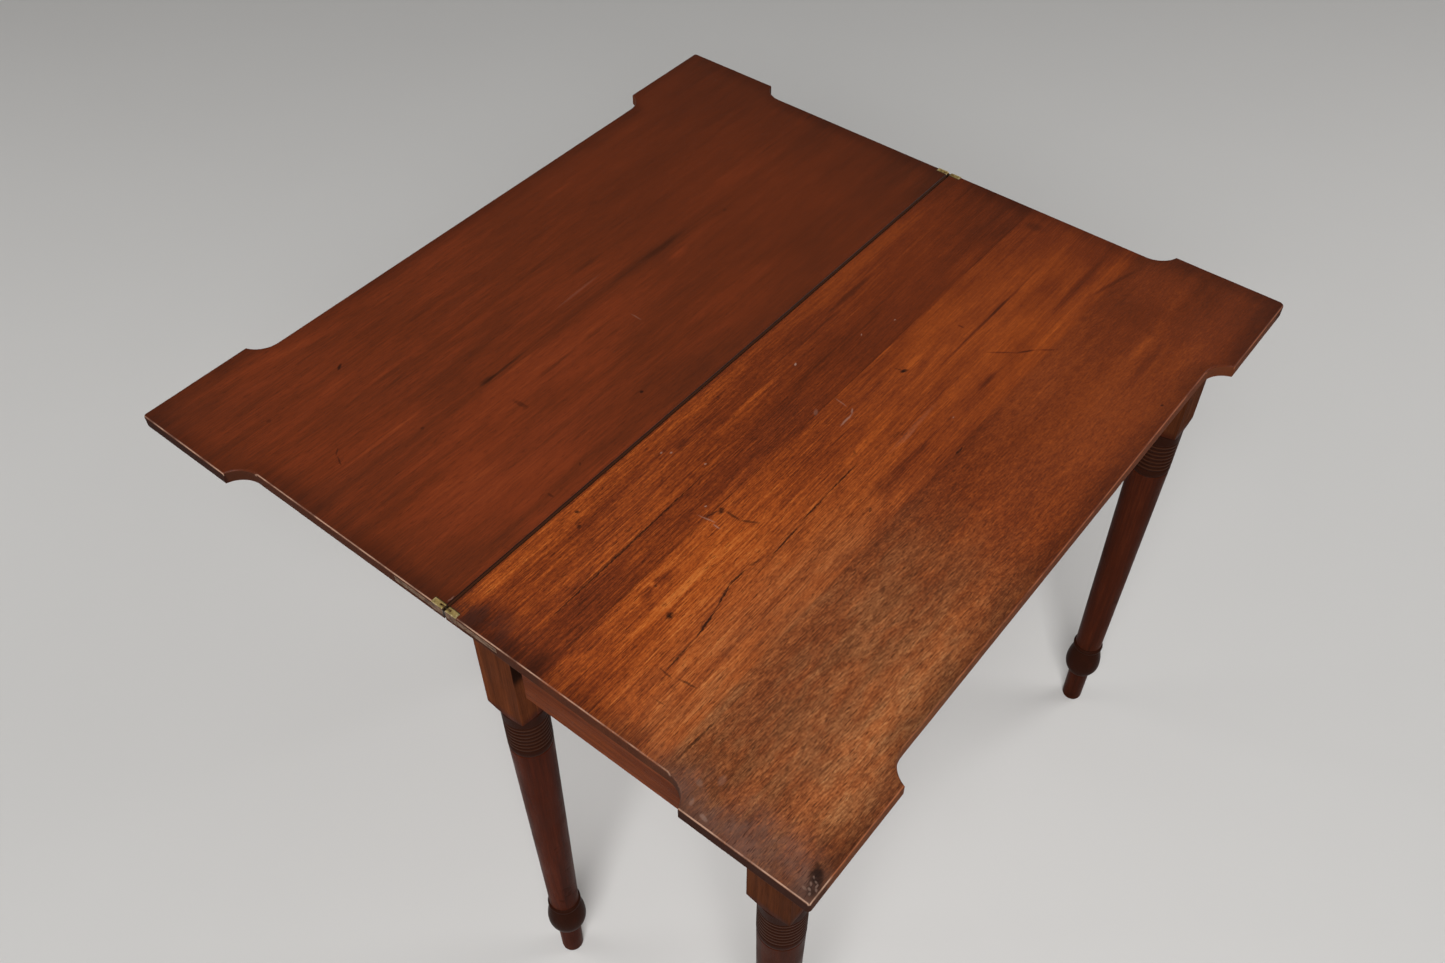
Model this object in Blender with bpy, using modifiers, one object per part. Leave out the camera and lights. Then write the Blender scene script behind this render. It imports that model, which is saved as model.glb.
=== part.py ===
"""Flip-top card table, open, in mahogany with brass edge hinges.

Metres, +Z up. The origin is on the floor under the middle of the line between the two leaves.
+X runs along that line and the fixed leaf lies at -Y, over the frame. The flip leaf lies at +Y
and folds over onto the fixed leaf. Both rear legs are fly legs on wooden knuckle joints: the
left one stands at home and the right one is swung out under the flip leaf.
"""

import math

import bmesh
import bpy
from mathutils import Matrix, Vector

# Gaps between the pieces
SEAT_GAP = 0.0003
CUT_OVERRUN = 0.004
MERGE_SHARE = 1 / 30

# Top: two equal leaves with square outset corners
TOP_HEIGHT = 0.760
TOP_WIDTH = 0.890
LEAF_DEPTH = 0.4215
LEAF_THICKNESS = 0.0158
JOINT_GAP = 0.0024
OUTSET_STEP = 0.0202
OUTSET_LENGTH = 0.1305
COVE_RADIUS = 0.029
OUTSET_CORNER_RADIUS = 0.0038
ARRIS_RADIUS = 0.0022
COVE_SEGMENTS = 7
CORNER_SEGMENTS = 4
ARRIS_SEGMENTS = 2

# Legs, turned below a square stile
STILE_SIDE = 0.049
END_OVERHANG = 0.0214
FRONT_OVERHANG = 0.0226
REAR_INSET = 0.0023
LEG_SEGMENTS = 20
SHOULDER_HEIGHT = 0.5886
SHOULDER_DROP = 0.0047
SHOULDER_MARGIN = 0.0014
QUIRK_HEIGHT = 0.0022
QUIRK_DEPTH = 0.0011
EDGE_DROP = 0.0010
TURNING_RADIUS = 0.0242
BAND_HEIGHT = 0.0136
RING_COUNT = 7
RING_PITCH = 0.0063
RING_DEPTH = 0.0013
LOWER_BAND_HEIGHT = 0.0010
LOWER_BEAD_HEIGHT = 0.0102
LOWER_BEAD_STEPS = 4
BODY_TOP_RADIUS = 0.0239
BODY_BOTTOM_RADIUS = 0.0183
BODY_BOTTOM_HEIGHT = 0.1330
COLLAR_RADIUS = 0.0206
COLLAR_HEIGHT = 0.0080
COLLAR_STEPS = 4
BULB_TOP_RADIUS = 0.0172
BULB_RADIUS = 0.0241
BULB_WIDEST_HEIGHT = 0.0885
BULB_STEPS = 4
PEG_TOP_HEIGHT = 0.0650
PEG_TOP_RADIUS = 0.0145
PEG_FOOT_RADIUS = 0.0137
PEG_EDGE_RADIUS = 0.0024

# Frame under the fixed leaf
RAIL_HEIGHT = 0.098
RAIL_THICKNESS = 0.022
RAIL_SETBACK = 0.003
RAIL_EDGE_CHAMFER = 0.0008
TENON_THICKNESS = 0.008
TENON_LENGTH = 0.024
TENON_SHOULDER = 0.009
FLY_STILE_CLEARANCE = 0.0104
TAIL_COUNT = 3
TAIL_LENGTH = 0.016
TAIL_WIDTH = 0.020
TAIL_FLARE = 0.003
BRACE_WIDTH = 0.045
BRACE_THICKNESS = 0.020
BRACE_LAP_LENGTH = 0.013
BRACE_LAP_WIDTH = 0.026
BRACE_LAP_FLARE = 0.004
GLUE_BLOCK_SIDE = 0.034
GLUE_BLOCK_HEIGHT = 0.080
GLUE_BLOCK_DROP = 0.004

# Fly rails and their wooden knuckle joints
FLY_RAIL_THICKNESS = 0.028
FLY_TENON_THICKNESS = 0.010
FLY_TENON_LENGTH = 0.022
KNUCKLE_AXIS_X = 0.060
FINGER_COUNT = 5
FINGER_GAP = 0.0006
KNUCKLE_SHOULDER_GAP = 0.0006
KNUCKLE_PIN_RADIUS = 0.003
KNUCKLE_STEPS = 8
ROUND_SEGMENTS = 12
SWUNG_OUT = math.radians(90)

# Brass hinges let into the ends of both leaves
LINK_HALF_SPAN = 0.0040
PIN_DEPTH = 0.0037
HINGE_PIN_RADIUS = 0.0012
HEAD_LENGTH = 0.0158
HEAD_WIDTH = 0.0065
HEAD_DEPTH = 0.0105
HEAD_STEPS = 5
LINK_THICKNESS = 0.0015
LINK_HALF_HEIGHT = 0.0030
LINK_STEPS = 6
STRIP_LENGTH = 0.050
STRIP_THICKNESS = 0.0022
STRIP_COVER = 0.0030
STRIP_RISE = 0.0006
STRIP_SETBACK = 0.0002
HINGE_SCREW_SHARES = (0.24, 0.82)
HINGE_SCREW_RADIUS = 0.0015
HINGE_SCREW_HEAD_RADIUS = 0.0030
HINGE_SCREW_HEAD_DEPTH = 0.0015
HINGE_SCREW_LENGTH = 0.018
SCREW_TIP = 0.003
SCREW_SEGMENTS = 10

# Screws that hold the top, in slanted pockets, and the knuckle block
POCKET_SLANT = math.radians(15)
POCKET_SHELF_DEPTH = 0.020
POCKET_RADIUS = 0.0065
POCKET_REACH = 0.075
TOP_SCREW_RADIUS = 0.0022
TOP_SCREW_HEAD_RADIUS = 0.0042
TOP_SCREW_HEAD_HEIGHT = 0.0024
TOP_SCREW_BITE = 0.0105
TOP_SCREW_SPREAD_SHARE = 0.5
BLOCK_SCREW_SPREAD_SHARE = 0.46
BLOCK_SCREW_RISE_SHARE = 0.25
BLOCK_SCREW_LENGTH = 0.040
BLOCK_SCREW_RADIUS = 0.0022
BLOCK_SCREW_HEAD_RADIUS = 0.0045
BLOCK_SCREW_HEAD_DEPTH = 0.0023

# Places that follow from the sizes above
LEAF_UNDERSIDE = TOP_HEIGHT - LEAF_THICKNESS
FRAME_TOP = LEAF_UNDERSIDE - SEAT_GAP
RAIL_BOTTOM = FRAME_TOP - RAIL_HEIGHT
LEAF_END_X = TOP_WIDTH / 2 - OUTSET_STEP
LEAF_LONG_EDGE_Y = LEAF_DEPTH - OUTSET_STEP
JOINT_EDGE_Y = JOINT_GAP / 2
HALF_STILE = STILE_SIDE / 2
LEG_X = LEAF_END_X - END_OVERHANG - HALF_STILE
FRONT_LEG_Y = -(LEAF_LONG_EDGE_Y - FRONT_OVERHANG - HALF_STILE)
REAR_LEG_Y = -(REAR_INSET + HALF_STILE)
STILE_INNER_X = LEG_X - HALF_STILE
FRONT_RAIL_FACE_Y = FRONT_LEG_Y - HALF_STILE + RAIL_SETBACK
FRONT_RAIL_BACK_Y = FRONT_RAIL_FACE_Y + RAIL_THICKNESS
END_RAIL_FACE_X = LEG_X + HALF_STILE - RAIL_SETBACK
END_RAIL_INNER_X = END_RAIL_FACE_X - RAIL_THICKNESS
BOX_REAR_Y = REAR_LEG_Y - HALF_STILE - FLY_STILE_CLEARANCE
INNER_RAIL_FRONT_Y = BOX_REAR_Y - RAIL_THICKNESS
FLY_RAIL_FRONT_Y = BOX_REAR_Y + SEAT_GAP
FLY_RAIL_BACK_Y = FLY_RAIL_FRONT_Y + FLY_RAIL_THICKNESS
FLY_AXIS_Y = FLY_RAIL_FRONT_Y + FLY_RAIL_THICKNESS / 2
FINGER_RADIUS = FLY_RAIL_THICKNESS / 2
FINGER_HEIGHT = RAIL_HEIGHT / FINGER_COUNT
PIN_Z = TOP_HEIGHT - PIN_DEPTH
HEAD_BOTTOM_Z = TOP_HEIGHT - HEAD_DEPTH
STRIP_TOP_Z = TOP_HEIGHT - STRIP_COVER
STRIP_BOTTOM_Z = HEAD_BOTTOM_Z + STRIP_RISE
STRIP_MIDDLE_Z = (STRIP_BOTTOM_Z + STRIP_TOP_Z) / 2
STRIP_FACE_X = LEAF_END_X - STRIP_SETBACK
HEAD_MIDDLE_X = LEAF_END_X - HEAD_WIDTH / 2

SIDES = (("left", -1), ("right", 1))
LEAVES = (("fixed", -1), ("flip", 1))


def remove_everything():
    for thing in list(bpy.data.objects):
        bpy.data.objects.remove(thing, do_unlink=True)


def new_collection(name):
    collection = bpy.data.collections.new(name)
    bpy.context.scene.collection.children.link(collection)
    return collection


def new_material(name, colour, roughness, metallic=0.0):
    material = bpy.data.materials.new(name)
    material.use_nodes = True
    shader = material.node_tree.nodes["Principled BSDF"]
    shader.inputs["Base Color"].default_value = (*colour, 1.0)
    shader.inputs["Roughness"].default_value = roughness
    shader.inputs["Metallic"].default_value = metallic
    return material


remove_everything()
PARTS = new_collection("flip_top_table")
CUTTERS = new_collection("cutters")

FIXED_LEAF_WOOD = new_material("fixed_leaf_mahogany", (0.150, 0.042, 0.016), 0.36)
FLIP_LEAF_WOOD = new_material("flip_leaf_mahogany", (0.095, 0.022, 0.010), 0.34)
LEG_WOOD = new_material("leg_mahogany", (0.070, 0.018, 0.009), 0.38)
RAIL_WOOD = new_material("rail_mahogany", (0.120, 0.038, 0.016), 0.42)
INNER_WOOD = new_material("inner_pine", (0.420, 0.230, 0.095), 0.70)
FLY_WOOD = new_material("fly_rail_birch", (0.360, 0.190, 0.080), 0.62)
BRASS = new_material("brass", (0.420, 0.330, 0.110), 0.38, 1.0)
IRON = new_material("iron", (0.090, 0.080, 0.070), 0.55, 1.0)


def place(thing, material):
    """Links an object as a part of the table, or as a cutter where it has no material."""
    if material is None:
        CUTTERS.objects.link(thing)
        thing.hide_render = True
        thing.display_type = "WIRE"
    else:
        PARTS.objects.link(thing)
        thing.data.materials.clear()
        thing.data.materials.append(material)
    return thing


def mesh_object(name, build, material):
    mesh = bpy.data.meshes.new(name)
    work = bmesh.new()
    build(work)
    bmesh.ops.recalc_face_normals(work, faces=work.faces)
    work.to_mesh(mesh)
    work.free()
    return place(bpy.data.objects.new(name, mesh), material)


def box(name, low, high, material=None):
    size = [b - a for a, b in zip(low, high)]
    middle = [(a + b) / 2 for a, b in zip(low, high)]

    def build(work):
        bmesh.ops.create_cube(work, size=1, matrix=Matrix.Translation(middle) @ Matrix.Diagonal((*size, 1)))

    return mesh_object(name, build, material)


def rod(name, start, end, radius, segments, material=None):
    """A round bar from start to end."""
    start, end = Vector(start), Vector(end)
    along = end - start
    turn = along.to_track_quat("Z", "Y").to_matrix().to_4x4()

    def build(work):
        bmesh.ops.create_cone(work, cap_ends=True, segments=segments, radius1=radius, radius2=radius,
                              depth=along.length, matrix=Matrix.Translation((start + end) / 2) @ turn)

    thing = mesh_object(name, build, material)
    smooth(thing)
    return thing


def smooth(thing):
    thing.data.shade_smooth()
    thing.data.set_sharp_from_angle(angle=math.radians(35))


PLANES = {
    "xy": Matrix.Identity(4),
    "xz": Matrix(((1, 0, 0, 0), (0, 0, -1, 0), (0, 1, 0, 0), (0, 0, 0, 1))),
    "yz": Matrix(((0, 0, 1, 0), (1, 0, 0, 0), (0, 1, 0, 0), (0, 0, 0, 1))),
}


def plate(name, outline, plane, low, high, material=None):
    """A flat outline in a plane, filled and extruded between low and high on the third axis."""
    curve = bpy.data.curves.new(name, "CURVE")
    curve.dimensions = "2D"
    curve.fill_mode = "BOTH"
    curve.extrude = (high - low) / 2
    spline = curve.splines.new("POLY")
    spline.points.add(len(outline) - 1)
    for point, (across, up) in zip(spline.points, outline):
        point.co = (across, up, 0, 1)
    spline.use_cyclic_u = True
    drawn = bpy.data.objects.new(name + "_outline", curve)
    bpy.context.scene.collection.objects.link(drawn)
    bpy.context.view_layer.update()
    mesh = bpy.data.meshes.new_from_object(drawn.evaluated_get(bpy.context.evaluated_depsgraph_get()))
    bpy.data.objects.remove(drawn, do_unlink=True)
    bpy.data.curves.remove(curve)
    middle = (low + high) / 2
    shift = -middle if plane == "xz" else middle
    work = bmesh.new()
    work.from_mesh(mesh)
    bmesh.ops.remove_doubles(work, verts=work.verts, dist=SEAT_GAP * MERGE_SHARE)
    bmesh.ops.dissolve_limit(work, angle_limit=math.radians(1), verts=work.verts, edges=work.edges)
    bmesh.ops.transform(work, matrix=PLANES[plane] @ Matrix.Translation((0, 0, shift)), verts=work.verts)
    bmesh.ops.recalc_face_normals(work, faces=work.faces)
    work.to_mesh(mesh)
    work.free()
    mesh.name = name
    return place(bpy.data.objects.new(name, mesh), material)


def turned(name, profile, segments, material=None):
    """A profile of (radius, height) points, top to bottom, turned round the local Z axis."""
    mesh = bpy.data.meshes.new(name)
    points = [(radius, 0, height) for radius, height in profile]
    mesh.from_pydata(points, [(i, i + 1) for i in range(len(points) - 1)], [])
    thing = place(bpy.data.objects.new(name, mesh), material)
    screw = thing.modifiers.new("turning", "SCREW")
    screw.steps = screw.render_steps = segments
    screw.use_merge_vertices = True
    screw.merge_threshold = SEAT_GAP * MERGE_SHARE
    screw.use_smooth_shade = True
    return thing


def aim(thing, start, direction):
    """Stands a turned piece at a point with its local Z along a direction."""
    thing.location = start
    thing.rotation_euler = Vector(direction).to_track_quat("Z", "Y").to_euler()
    return thing


def boolean(thing, cutter, operation="DIFFERENCE"):
    modifier = thing.modifiers.new(cutter.name, "BOOLEAN")
    modifier.operation = operation
    modifier.solver = "EXACT"
    modifier.object = cutter
    return thing


def cut(thing, *cutters):
    for cutter in cutters:
        boolean(thing, cutter)
    return thing


def join(thing, *additions):
    for addition in additions:
        boolean(thing, addition, "UNION")
    return thing


def arc(centre, radius, start, end, steps):
    """Points along an arc, both ends included; angles in degrees."""
    points = []
    for step in range(steps + 1):
        angle = math.radians(start + (end - start) * step / steps)
        points.append((centre[0] + radius * math.cos(angle), centre[1] + radius * math.sin(angle)))
    return points


def mirrored(points):
    return [(-across, up) for across, up in reversed(points)]


def grown(low, high, gap=SEAT_GAP):
    return [value - gap for value in low], [value + gap for value in high]


# Leaves

def leaf_outline():
    """Plan of the flip leaf: the joint edge is straight and both far corners are outset."""
    half = TOP_WIDTH / 2
    steep = math.degrees(math.acos(1 - OUTSET_STEP / COVE_RADIUS))
    reach = COVE_RADIUS * math.sin(math.radians(steep))
    end_cove = arc((LEAF_END_X + COVE_RADIUS, LEAF_DEPTH - OUTSET_LENGTH - reach), COVE_RADIUS,
                   180, 180 - steep, COVE_SEGMENTS)
    corner = arc((half - OUTSET_CORNER_RADIUS, LEAF_DEPTH - OUTSET_CORNER_RADIUS), OUTSET_CORNER_RADIUS,
                 0, 90, CORNER_SEGMENTS)
    edge_cove = arc((half - OUTSET_LENGTH - reach, LEAF_LONG_EDGE_Y + COVE_RADIUS), COVE_RADIUS,
                    steep - 90, -90, COVE_SEGMENTS)
    right = [(LEAF_END_X, JOINT_EDGE_Y)] + end_cove + corner + edge_cove
    return right + mirrored(right)


def leaf(name, end, material):
    outline = [(x, end * y) for x, y in leaf_outline()]
    thing = plate(name, outline, "xy", LEAF_UNDERSIDE, TOP_HEIGHT, material)
    work = bmesh.new()
    work.from_mesh(thing.data)
    weight = work.edges.layers.float.new("bevel_weight_edge")
    for edge in work.edges:
        level = abs(edge.verts[0].co.z - edge.verts[1].co.z) < SEAT_GAP
        edge[weight] = 1.0 if level and edge.calc_face_angle() > math.radians(60) else 0.0
    work.to_mesh(thing.data)
    work.free()
    arris = thing.modifiers.new("arris", "BEVEL")
    arris.width = ARRIS_RADIUS
    arris.segments = ARRIS_SEGMENTS
    arris.limit_method = "WEIGHT"
    arris.use_clamp_overlap = False
    return thing


# Hinges

def head_outline(end):
    """Side view of a hinge head: round about its pin at the joint, flat along the top."""
    nose = arc((LINK_HALF_SPAN, PIN_Z), PIN_DEPTH, 90, 180, HEAD_STEPS)
    nose.append((LINK_HALF_SPAN - PIN_DEPTH, HEAD_BOTTOM_Z))
    nose.append((HEAD_LENGTH, HEAD_BOTTOM_Z))
    nose.append((HEAD_LENGTH, TOP_HEIGHT))
    return [(end * y, z) for y, z in nose]


def link_outline(grow=0.0):
    """Side view of the link: a bar with a round end about each pin."""
    radius = LINK_HALF_HEIGHT + grow
    right_end = arc((LINK_HALF_SPAN, PIN_Z), radius, -90, 90, LINK_STEPS)
    return right_end + mirrored(right_end)


def hinge_screw_profile(grow=0.0, overrun=0.0):
    """A countersunk screw; its tip points along +Z and its head's face is at zero."""
    shank = HINGE_SCREW_RADIUS + grow
    head = HINGE_SCREW_HEAD_RADIUS + grow
    length = HINGE_SCREW_LENGTH + grow
    profile = [(0, length), (shank, length - SCREW_TIP), (shank, HINGE_SCREW_HEAD_DEPTH + grow)]
    profile.append((head, grow))
    if overrun:
        profile.append((head, -overrun))
    return profile + [(0, -overrun)]


def hinge_x_range(side, depth, grow=0.0, overrun=0.0):
    """The span in x of something let into the leaf's end from its face."""
    inner = side * (LEAF_END_X - depth - grow)
    outer = side * (LEAF_END_X + overrun)
    return min(inner, outer), max(inner, outer)


def y_range(end, near, far):
    return min(end * near, end * far), max(end * near, end * far)


def hinge_arm(leaf_name, end, side_name, side, leaf_piece):
    """One arm of a hinge, its screws, its pin, and the recess for them in the leaf."""
    name = leaf_name + "_hinge_arm_" + side_name
    head_low, head_high = hinge_x_range(side, HEAD_WIDTH)
    strip_low, strip_high = sorted((side * STRIP_FACE_X, side * (STRIP_FACE_X - STRIP_THICKNESS)))
    arm = plate(name, head_outline(end), "yz", head_low, head_high, BRASS)
    strip_near, strip_far = y_range(end, HEAD_LENGTH - CUT_OVERRUN, HEAD_LENGTH + STRIP_LENGTH)
    join(arm, box(name + "_strip", (strip_low, strip_near, STRIP_BOTTOM_Z),
                  (strip_high, strip_far, STRIP_TOP_Z)))

    slot_half = LINK_THICKNESS / 2 + SEAT_GAP
    middle = side * HEAD_MIDDLE_X
    slot_back = LINK_HALF_SPAN + LINK_HALF_HEIGHT + SEAT_GAP
    slot_near, slot_far = y_range(end, -CUT_OVERRUN, slot_back)
    slot_floor = PIN_Z - LINK_HALF_HEIGHT - SEAT_GAP
    cut(arm, box(name + "_slot", (middle - slot_half, slot_near, slot_floor),
                 (middle + slot_half, slot_far, TOP_HEIGHT + CUT_OVERRUN)))
    pin_y = end * LINK_HALF_SPAN
    cut(arm, rod(name + "_pin_hole", (head_low - CUT_OVERRUN, pin_y, PIN_Z),
                 (head_high + CUT_OVERRUN, pin_y, PIN_Z), HINGE_PIN_RADIUS + SEAT_GAP, ROUND_SEGMENTS))
    rod(leaf_name + "_hinge_pin_" + side_name, (head_low, pin_y, PIN_Z), (head_high, pin_y, PIN_Z),
        HINGE_PIN_RADIUS, ROUND_SEGMENTS, BRASS)

    pocket_low, pocket_high = hinge_x_range(side, HEAD_WIDTH, SEAT_GAP, CUT_OVERRUN)
    pocket_near, pocket_far = y_range(end, -CUT_OVERRUN, HEAD_LENGTH + SEAT_GAP)
    cut(leaf_piece, box(name + "_head_recess", (pocket_low, pocket_near, HEAD_BOTTOM_Z - SEAT_GAP),
                        (pocket_high, pocket_far, TOP_HEIGHT + CUT_OVERRUN)))
    groove_low, groove_high = hinge_x_range(side, STRIP_SETBACK + STRIP_THICKNESS, SEAT_GAP, CUT_OVERRUN)
    groove_near, groove_far = y_range(end, HEAD_LENGTH - CUT_OVERRUN, HEAD_LENGTH + STRIP_LENGTH + SEAT_GAP)
    cut(leaf_piece, box(name + "_strip_recess", (groove_low, groove_near, STRIP_BOTTOM_Z - SEAT_GAP),
                        (groove_high, groove_far, STRIP_TOP_Z + SEAT_GAP)))

    for number, share in enumerate(HINGE_SCREW_SHARES, start=1):
        screw_y = end * (HEAD_LENGTH + STRIP_LENGTH * share)
        screw_name = leaf_name + "_hinge_screw_" + side_name + "_" + str(number)
        face = (side * STRIP_FACE_X, screw_y, STRIP_MIDDLE_Z)
        aim(turned(screw_name, hinge_screw_profile(), SCREW_SEGMENTS, BRASS), face, (-side, 0, 0))
        hole = turned(screw_name + "_hole", hinge_screw_profile(SEAT_GAP, CUT_OVERRUN), SCREW_SEGMENTS)
        aim(hole, face, (-side, 0, 0))
        cut(arm, hole)
        cut(leaf_piece, hole)
    return arm


def hinge_link(side_name, side):
    name = "hinge_link_" + side_name
    middle = side * HEAD_MIDDLE_X
    low, high = middle - LINK_THICKNESS / 2, middle + LINK_THICKNESS / 2
    link = plate(name, link_outline(), "yz", low, high, BRASS)
    for _, end in LEAVES:
        pin_y = end * LINK_HALF_SPAN
        cut(link, rod(name + "_eye", (low - CUT_OVERRUN, pin_y, PIN_Z), (high + CUT_OVERRUN, pin_y, PIN_Z),
                      HINGE_PIN_RADIUS + SEAT_GAP, ROUND_SEGMENTS))
    return link


# Legs

def half_round(base, crest, top, height, steps):
    """A bead's profile, top to bottom, between two points on its base radius."""
    points = []
    for step in range(steps + 1):
        angle = math.pi * step / steps
        points.append((base + (crest - base) * math.sin(angle), top - height * (1 - math.cos(angle)) / 2))
    return points


def leg_profile():
    """Radius and height of the turning, from the top of the stile down to the floor."""
    corner = HALF_STILE * math.sqrt(2)
    slope = SHOULDER_DROP / (corner - HALF_STILE)
    outside = corner + SHOULDER_MARGIN
    points = [(0, FRAME_TOP), (outside, FRAME_TOP), (outside, SHOULDER_HEIGHT + SHOULDER_MARGIN * slope)]
    quirk_radius = TURNING_RADIUS - QUIRK_DEPTH
    height = SHOULDER_HEIGHT - (corner - quirk_radius) * slope
    points.append((quirk_radius, height))
    height -= QUIRK_HEIGHT
    points.append((quirk_radius, height))
    height -= EDGE_DROP
    points.append((TURNING_RADIUS, height))
    height -= BAND_HEIGHT
    points.append((TURNING_RADIUS, height))
    height -= EDGE_DROP
    for _ in range(RING_COUNT):
        points.append((TURNING_RADIUS - RING_DEPTH, height))
        points.append((TURNING_RADIUS, height - RING_PITCH / 2))
        height -= RING_PITCH
    points.append((TURNING_RADIUS - RING_DEPTH, height))
    height -= LOWER_BAND_HEIGHT
    bead_base = TURNING_RADIUS - RING_DEPTH
    points += half_round(bead_base, TURNING_RADIUS, height, LOWER_BEAD_HEIGHT, LOWER_BEAD_STEPS)
    height -= LOWER_BEAD_HEIGHT + EDGE_DROP
    points.append((BODY_TOP_RADIUS, height))
    points.append((BODY_BOTTOM_RADIUS, BODY_BOTTOM_HEIGHT))
    collar_top = BODY_BOTTOM_HEIGHT - EDGE_DROP
    points += half_round(BULB_TOP_RADIUS, COLLAR_RADIUS, collar_top, COLLAR_HEIGHT, COLLAR_STEPS)
    bulb_top = collar_top - COLLAR_HEIGHT
    for step in range(1, BULB_STEPS + 1):
        angle = math.pi / 2 * step / BULB_STEPS
        points.append((BULB_TOP_RADIUS + (BULB_RADIUS - BULB_TOP_RADIUS) * math.sin(angle),
                       BULB_WIDEST_HEIGHT + (bulb_top - BULB_WIDEST_HEIGHT) * (1 - step / BULB_STEPS)))
    last = math.acos(PEG_TOP_RADIUS / BULB_RADIUS)
    for step in range(1, BULB_STEPS + 1):
        angle = last * step / BULB_STEPS
        drop = (BULB_WIDEST_HEIGHT - PEG_TOP_HEIGHT) * math.sin(angle) / math.sin(last)
        points.append((BULB_RADIUS * math.cos(angle), BULB_WIDEST_HEIGHT - drop))
    points.append((PEG_FOOT_RADIUS, PEG_EDGE_RADIUS))
    points.append((PEG_FOOT_RADIUS - PEG_EDGE_RADIUS, 0))
    points.append((0, 0))
    return points


def leg(name, x, y):
    """A leg turned from the square: the turning and the square stock cut each other."""
    thing = turned(name, leg_profile(), LEG_SEGMENTS, LEG_WOOD)
    thing.location = (x, y, 0)
    stock = box(name + "_square", (x - HALF_STILE, y - HALF_STILE, -CUT_OVERRUN),
                (x + HALF_STILE, y + HALF_STILE, FRAME_TOP + CUT_OVERRUN))
    return boolean(thing, stock, "INTERSECT")


# Rails

def rail(name, low, high, material):
    thing = box(name, low, high, material)
    chamfer = thing.modifiers.new("chamfer", "BEVEL")
    chamfer.width = RAIL_EDGE_CHAMFER
    chamfer.segments = 1
    return thing


def tenon(rail_piece, leg_piece, name, low, high):
    """Adds a tenon to a rail and cuts its mortise in a leg."""
    join(rail_piece, box(name, low, high))
    mortise_low, mortise_high = grown(low, high)
    cut(leg_piece, box(name + "_mortise", mortise_low, mortise_high))


TENON_LOW_Z = RAIL_BOTTOM + TENON_SHOULDER
TENON_HIGH_Z = FRAME_TOP - TENON_SHOULDER


def front_rail(legs):
    reach = STILE_INNER_X - SEAT_GAP
    thing = rail("front_rail", (-reach, FRONT_RAIL_FACE_Y, RAIL_BOTTOM),
                 (reach, FRONT_RAIL_BACK_Y, FRAME_TOP), RAIL_WOOD)
    middle = (FRONT_RAIL_FACE_Y + FRONT_RAIL_BACK_Y) / 2
    for side_name, side in SIDES:
        ends = sorted((side * (reach - CUT_OVERRUN), side * (STILE_INNER_X + TENON_LENGTH)))
        tenon(thing, legs[side_name], "front_rail_tenon_" + side_name,
              (ends[0], middle - TENON_THICKNESS / 2, TENON_LOW_Z),
              (ends[1], middle + TENON_THICKNESS / 2, TENON_HIGH_Z))
    return thing


def tail_outlines(side, grow=0.0):
    """The dovetails on one end of the inner rear rail, seen from behind."""
    start = side * (END_RAIL_INNER_X - SEAT_GAP - grow)
    tip = side * (END_RAIL_INNER_X + TAIL_LENGTH + grow)
    pitch = RAIL_HEIGHT / TAIL_COUNT
    outlines = []
    for number in range(TAIL_COUNT):
        middle = RAIL_BOTTOM + pitch * (number + 1 / 2)
        base = TAIL_WIDTH / 2 + grow
        wide = base + TAIL_FLARE
        outlines.append([(start, middle - base), (tip, middle - wide),
                         (tip, middle + wide), (start, middle + base)])
    return outlines


def end_rail(side_name, side, front_leg):
    name = side_name + "_end_rail"
    faces = sorted((side * END_RAIL_INNER_X, side * END_RAIL_FACE_X))
    front = FRONT_LEG_Y + HALF_STILE + SEAT_GAP
    thing = rail(name, (faces[0], front, RAIL_BOTTOM), (faces[1], BOX_REAR_Y, FRAME_TOP), RAIL_WOOD)
    middle = side * (END_RAIL_INNER_X + END_RAIL_FACE_X) / 2
    tenon(thing, front_leg, name + "_tenon",
          (middle - TENON_THICKNESS / 2, front - SEAT_GAP - TENON_LENGTH, TENON_LOW_Z),
          (middle + TENON_THICKNESS / 2, front + CUT_OVERRUN, TENON_HIGH_Z))
    for number, outline in enumerate(tail_outlines(side, SEAT_GAP)):
        cut(thing, plate(name + "_socket_" + str(number), outline, "xz",
                         INNER_RAIL_FRONT_Y - SEAT_GAP, BOX_REAR_Y + CUT_OVERRUN))
    return thing


def inner_rear_rail():
    """The fixed back of the box, dovetailed between the end rails."""
    outline = []
    for side in (1, -1):
        outlines = tail_outlines(side)
        points = [(side * (END_RAIL_INNER_X - SEAT_GAP), RAIL_BOTTOM)]
        for tail in outlines:
            points += tail
        points.append((side * (END_RAIL_INNER_X - SEAT_GAP), FRAME_TOP))
        outline += points if side > 0 else list(reversed(points))
    return plate("inner_rear_rail", outline, "xz", INNER_RAIL_FRONT_Y, BOX_REAR_Y, INNER_WOOD)


def brace_outline(grow=0.0):
    """Plan of the brace: a batten with a dovetailed lap at each end."""
    half = BRACE_WIDTH / 2
    neck = BRACE_LAP_WIDTH / 2 + grow
    wide = neck + BRACE_LAP_FLARE
    rear_shoulder = INNER_RAIL_FRONT_Y - SEAT_GAP
    rear_tip = INNER_RAIL_FRONT_Y + BRACE_LAP_LENGTH + grow
    front_shoulder = FRONT_RAIL_BACK_Y + SEAT_GAP
    front_tip = FRONT_RAIL_BACK_Y - BRACE_LAP_LENGTH - grow
    right = [(wide, front_tip), (neck, front_shoulder), (half, front_shoulder),
             (half, rear_shoulder), (neck, rear_shoulder), (wide, rear_tip)]
    return right + mirrored(right)


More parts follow.
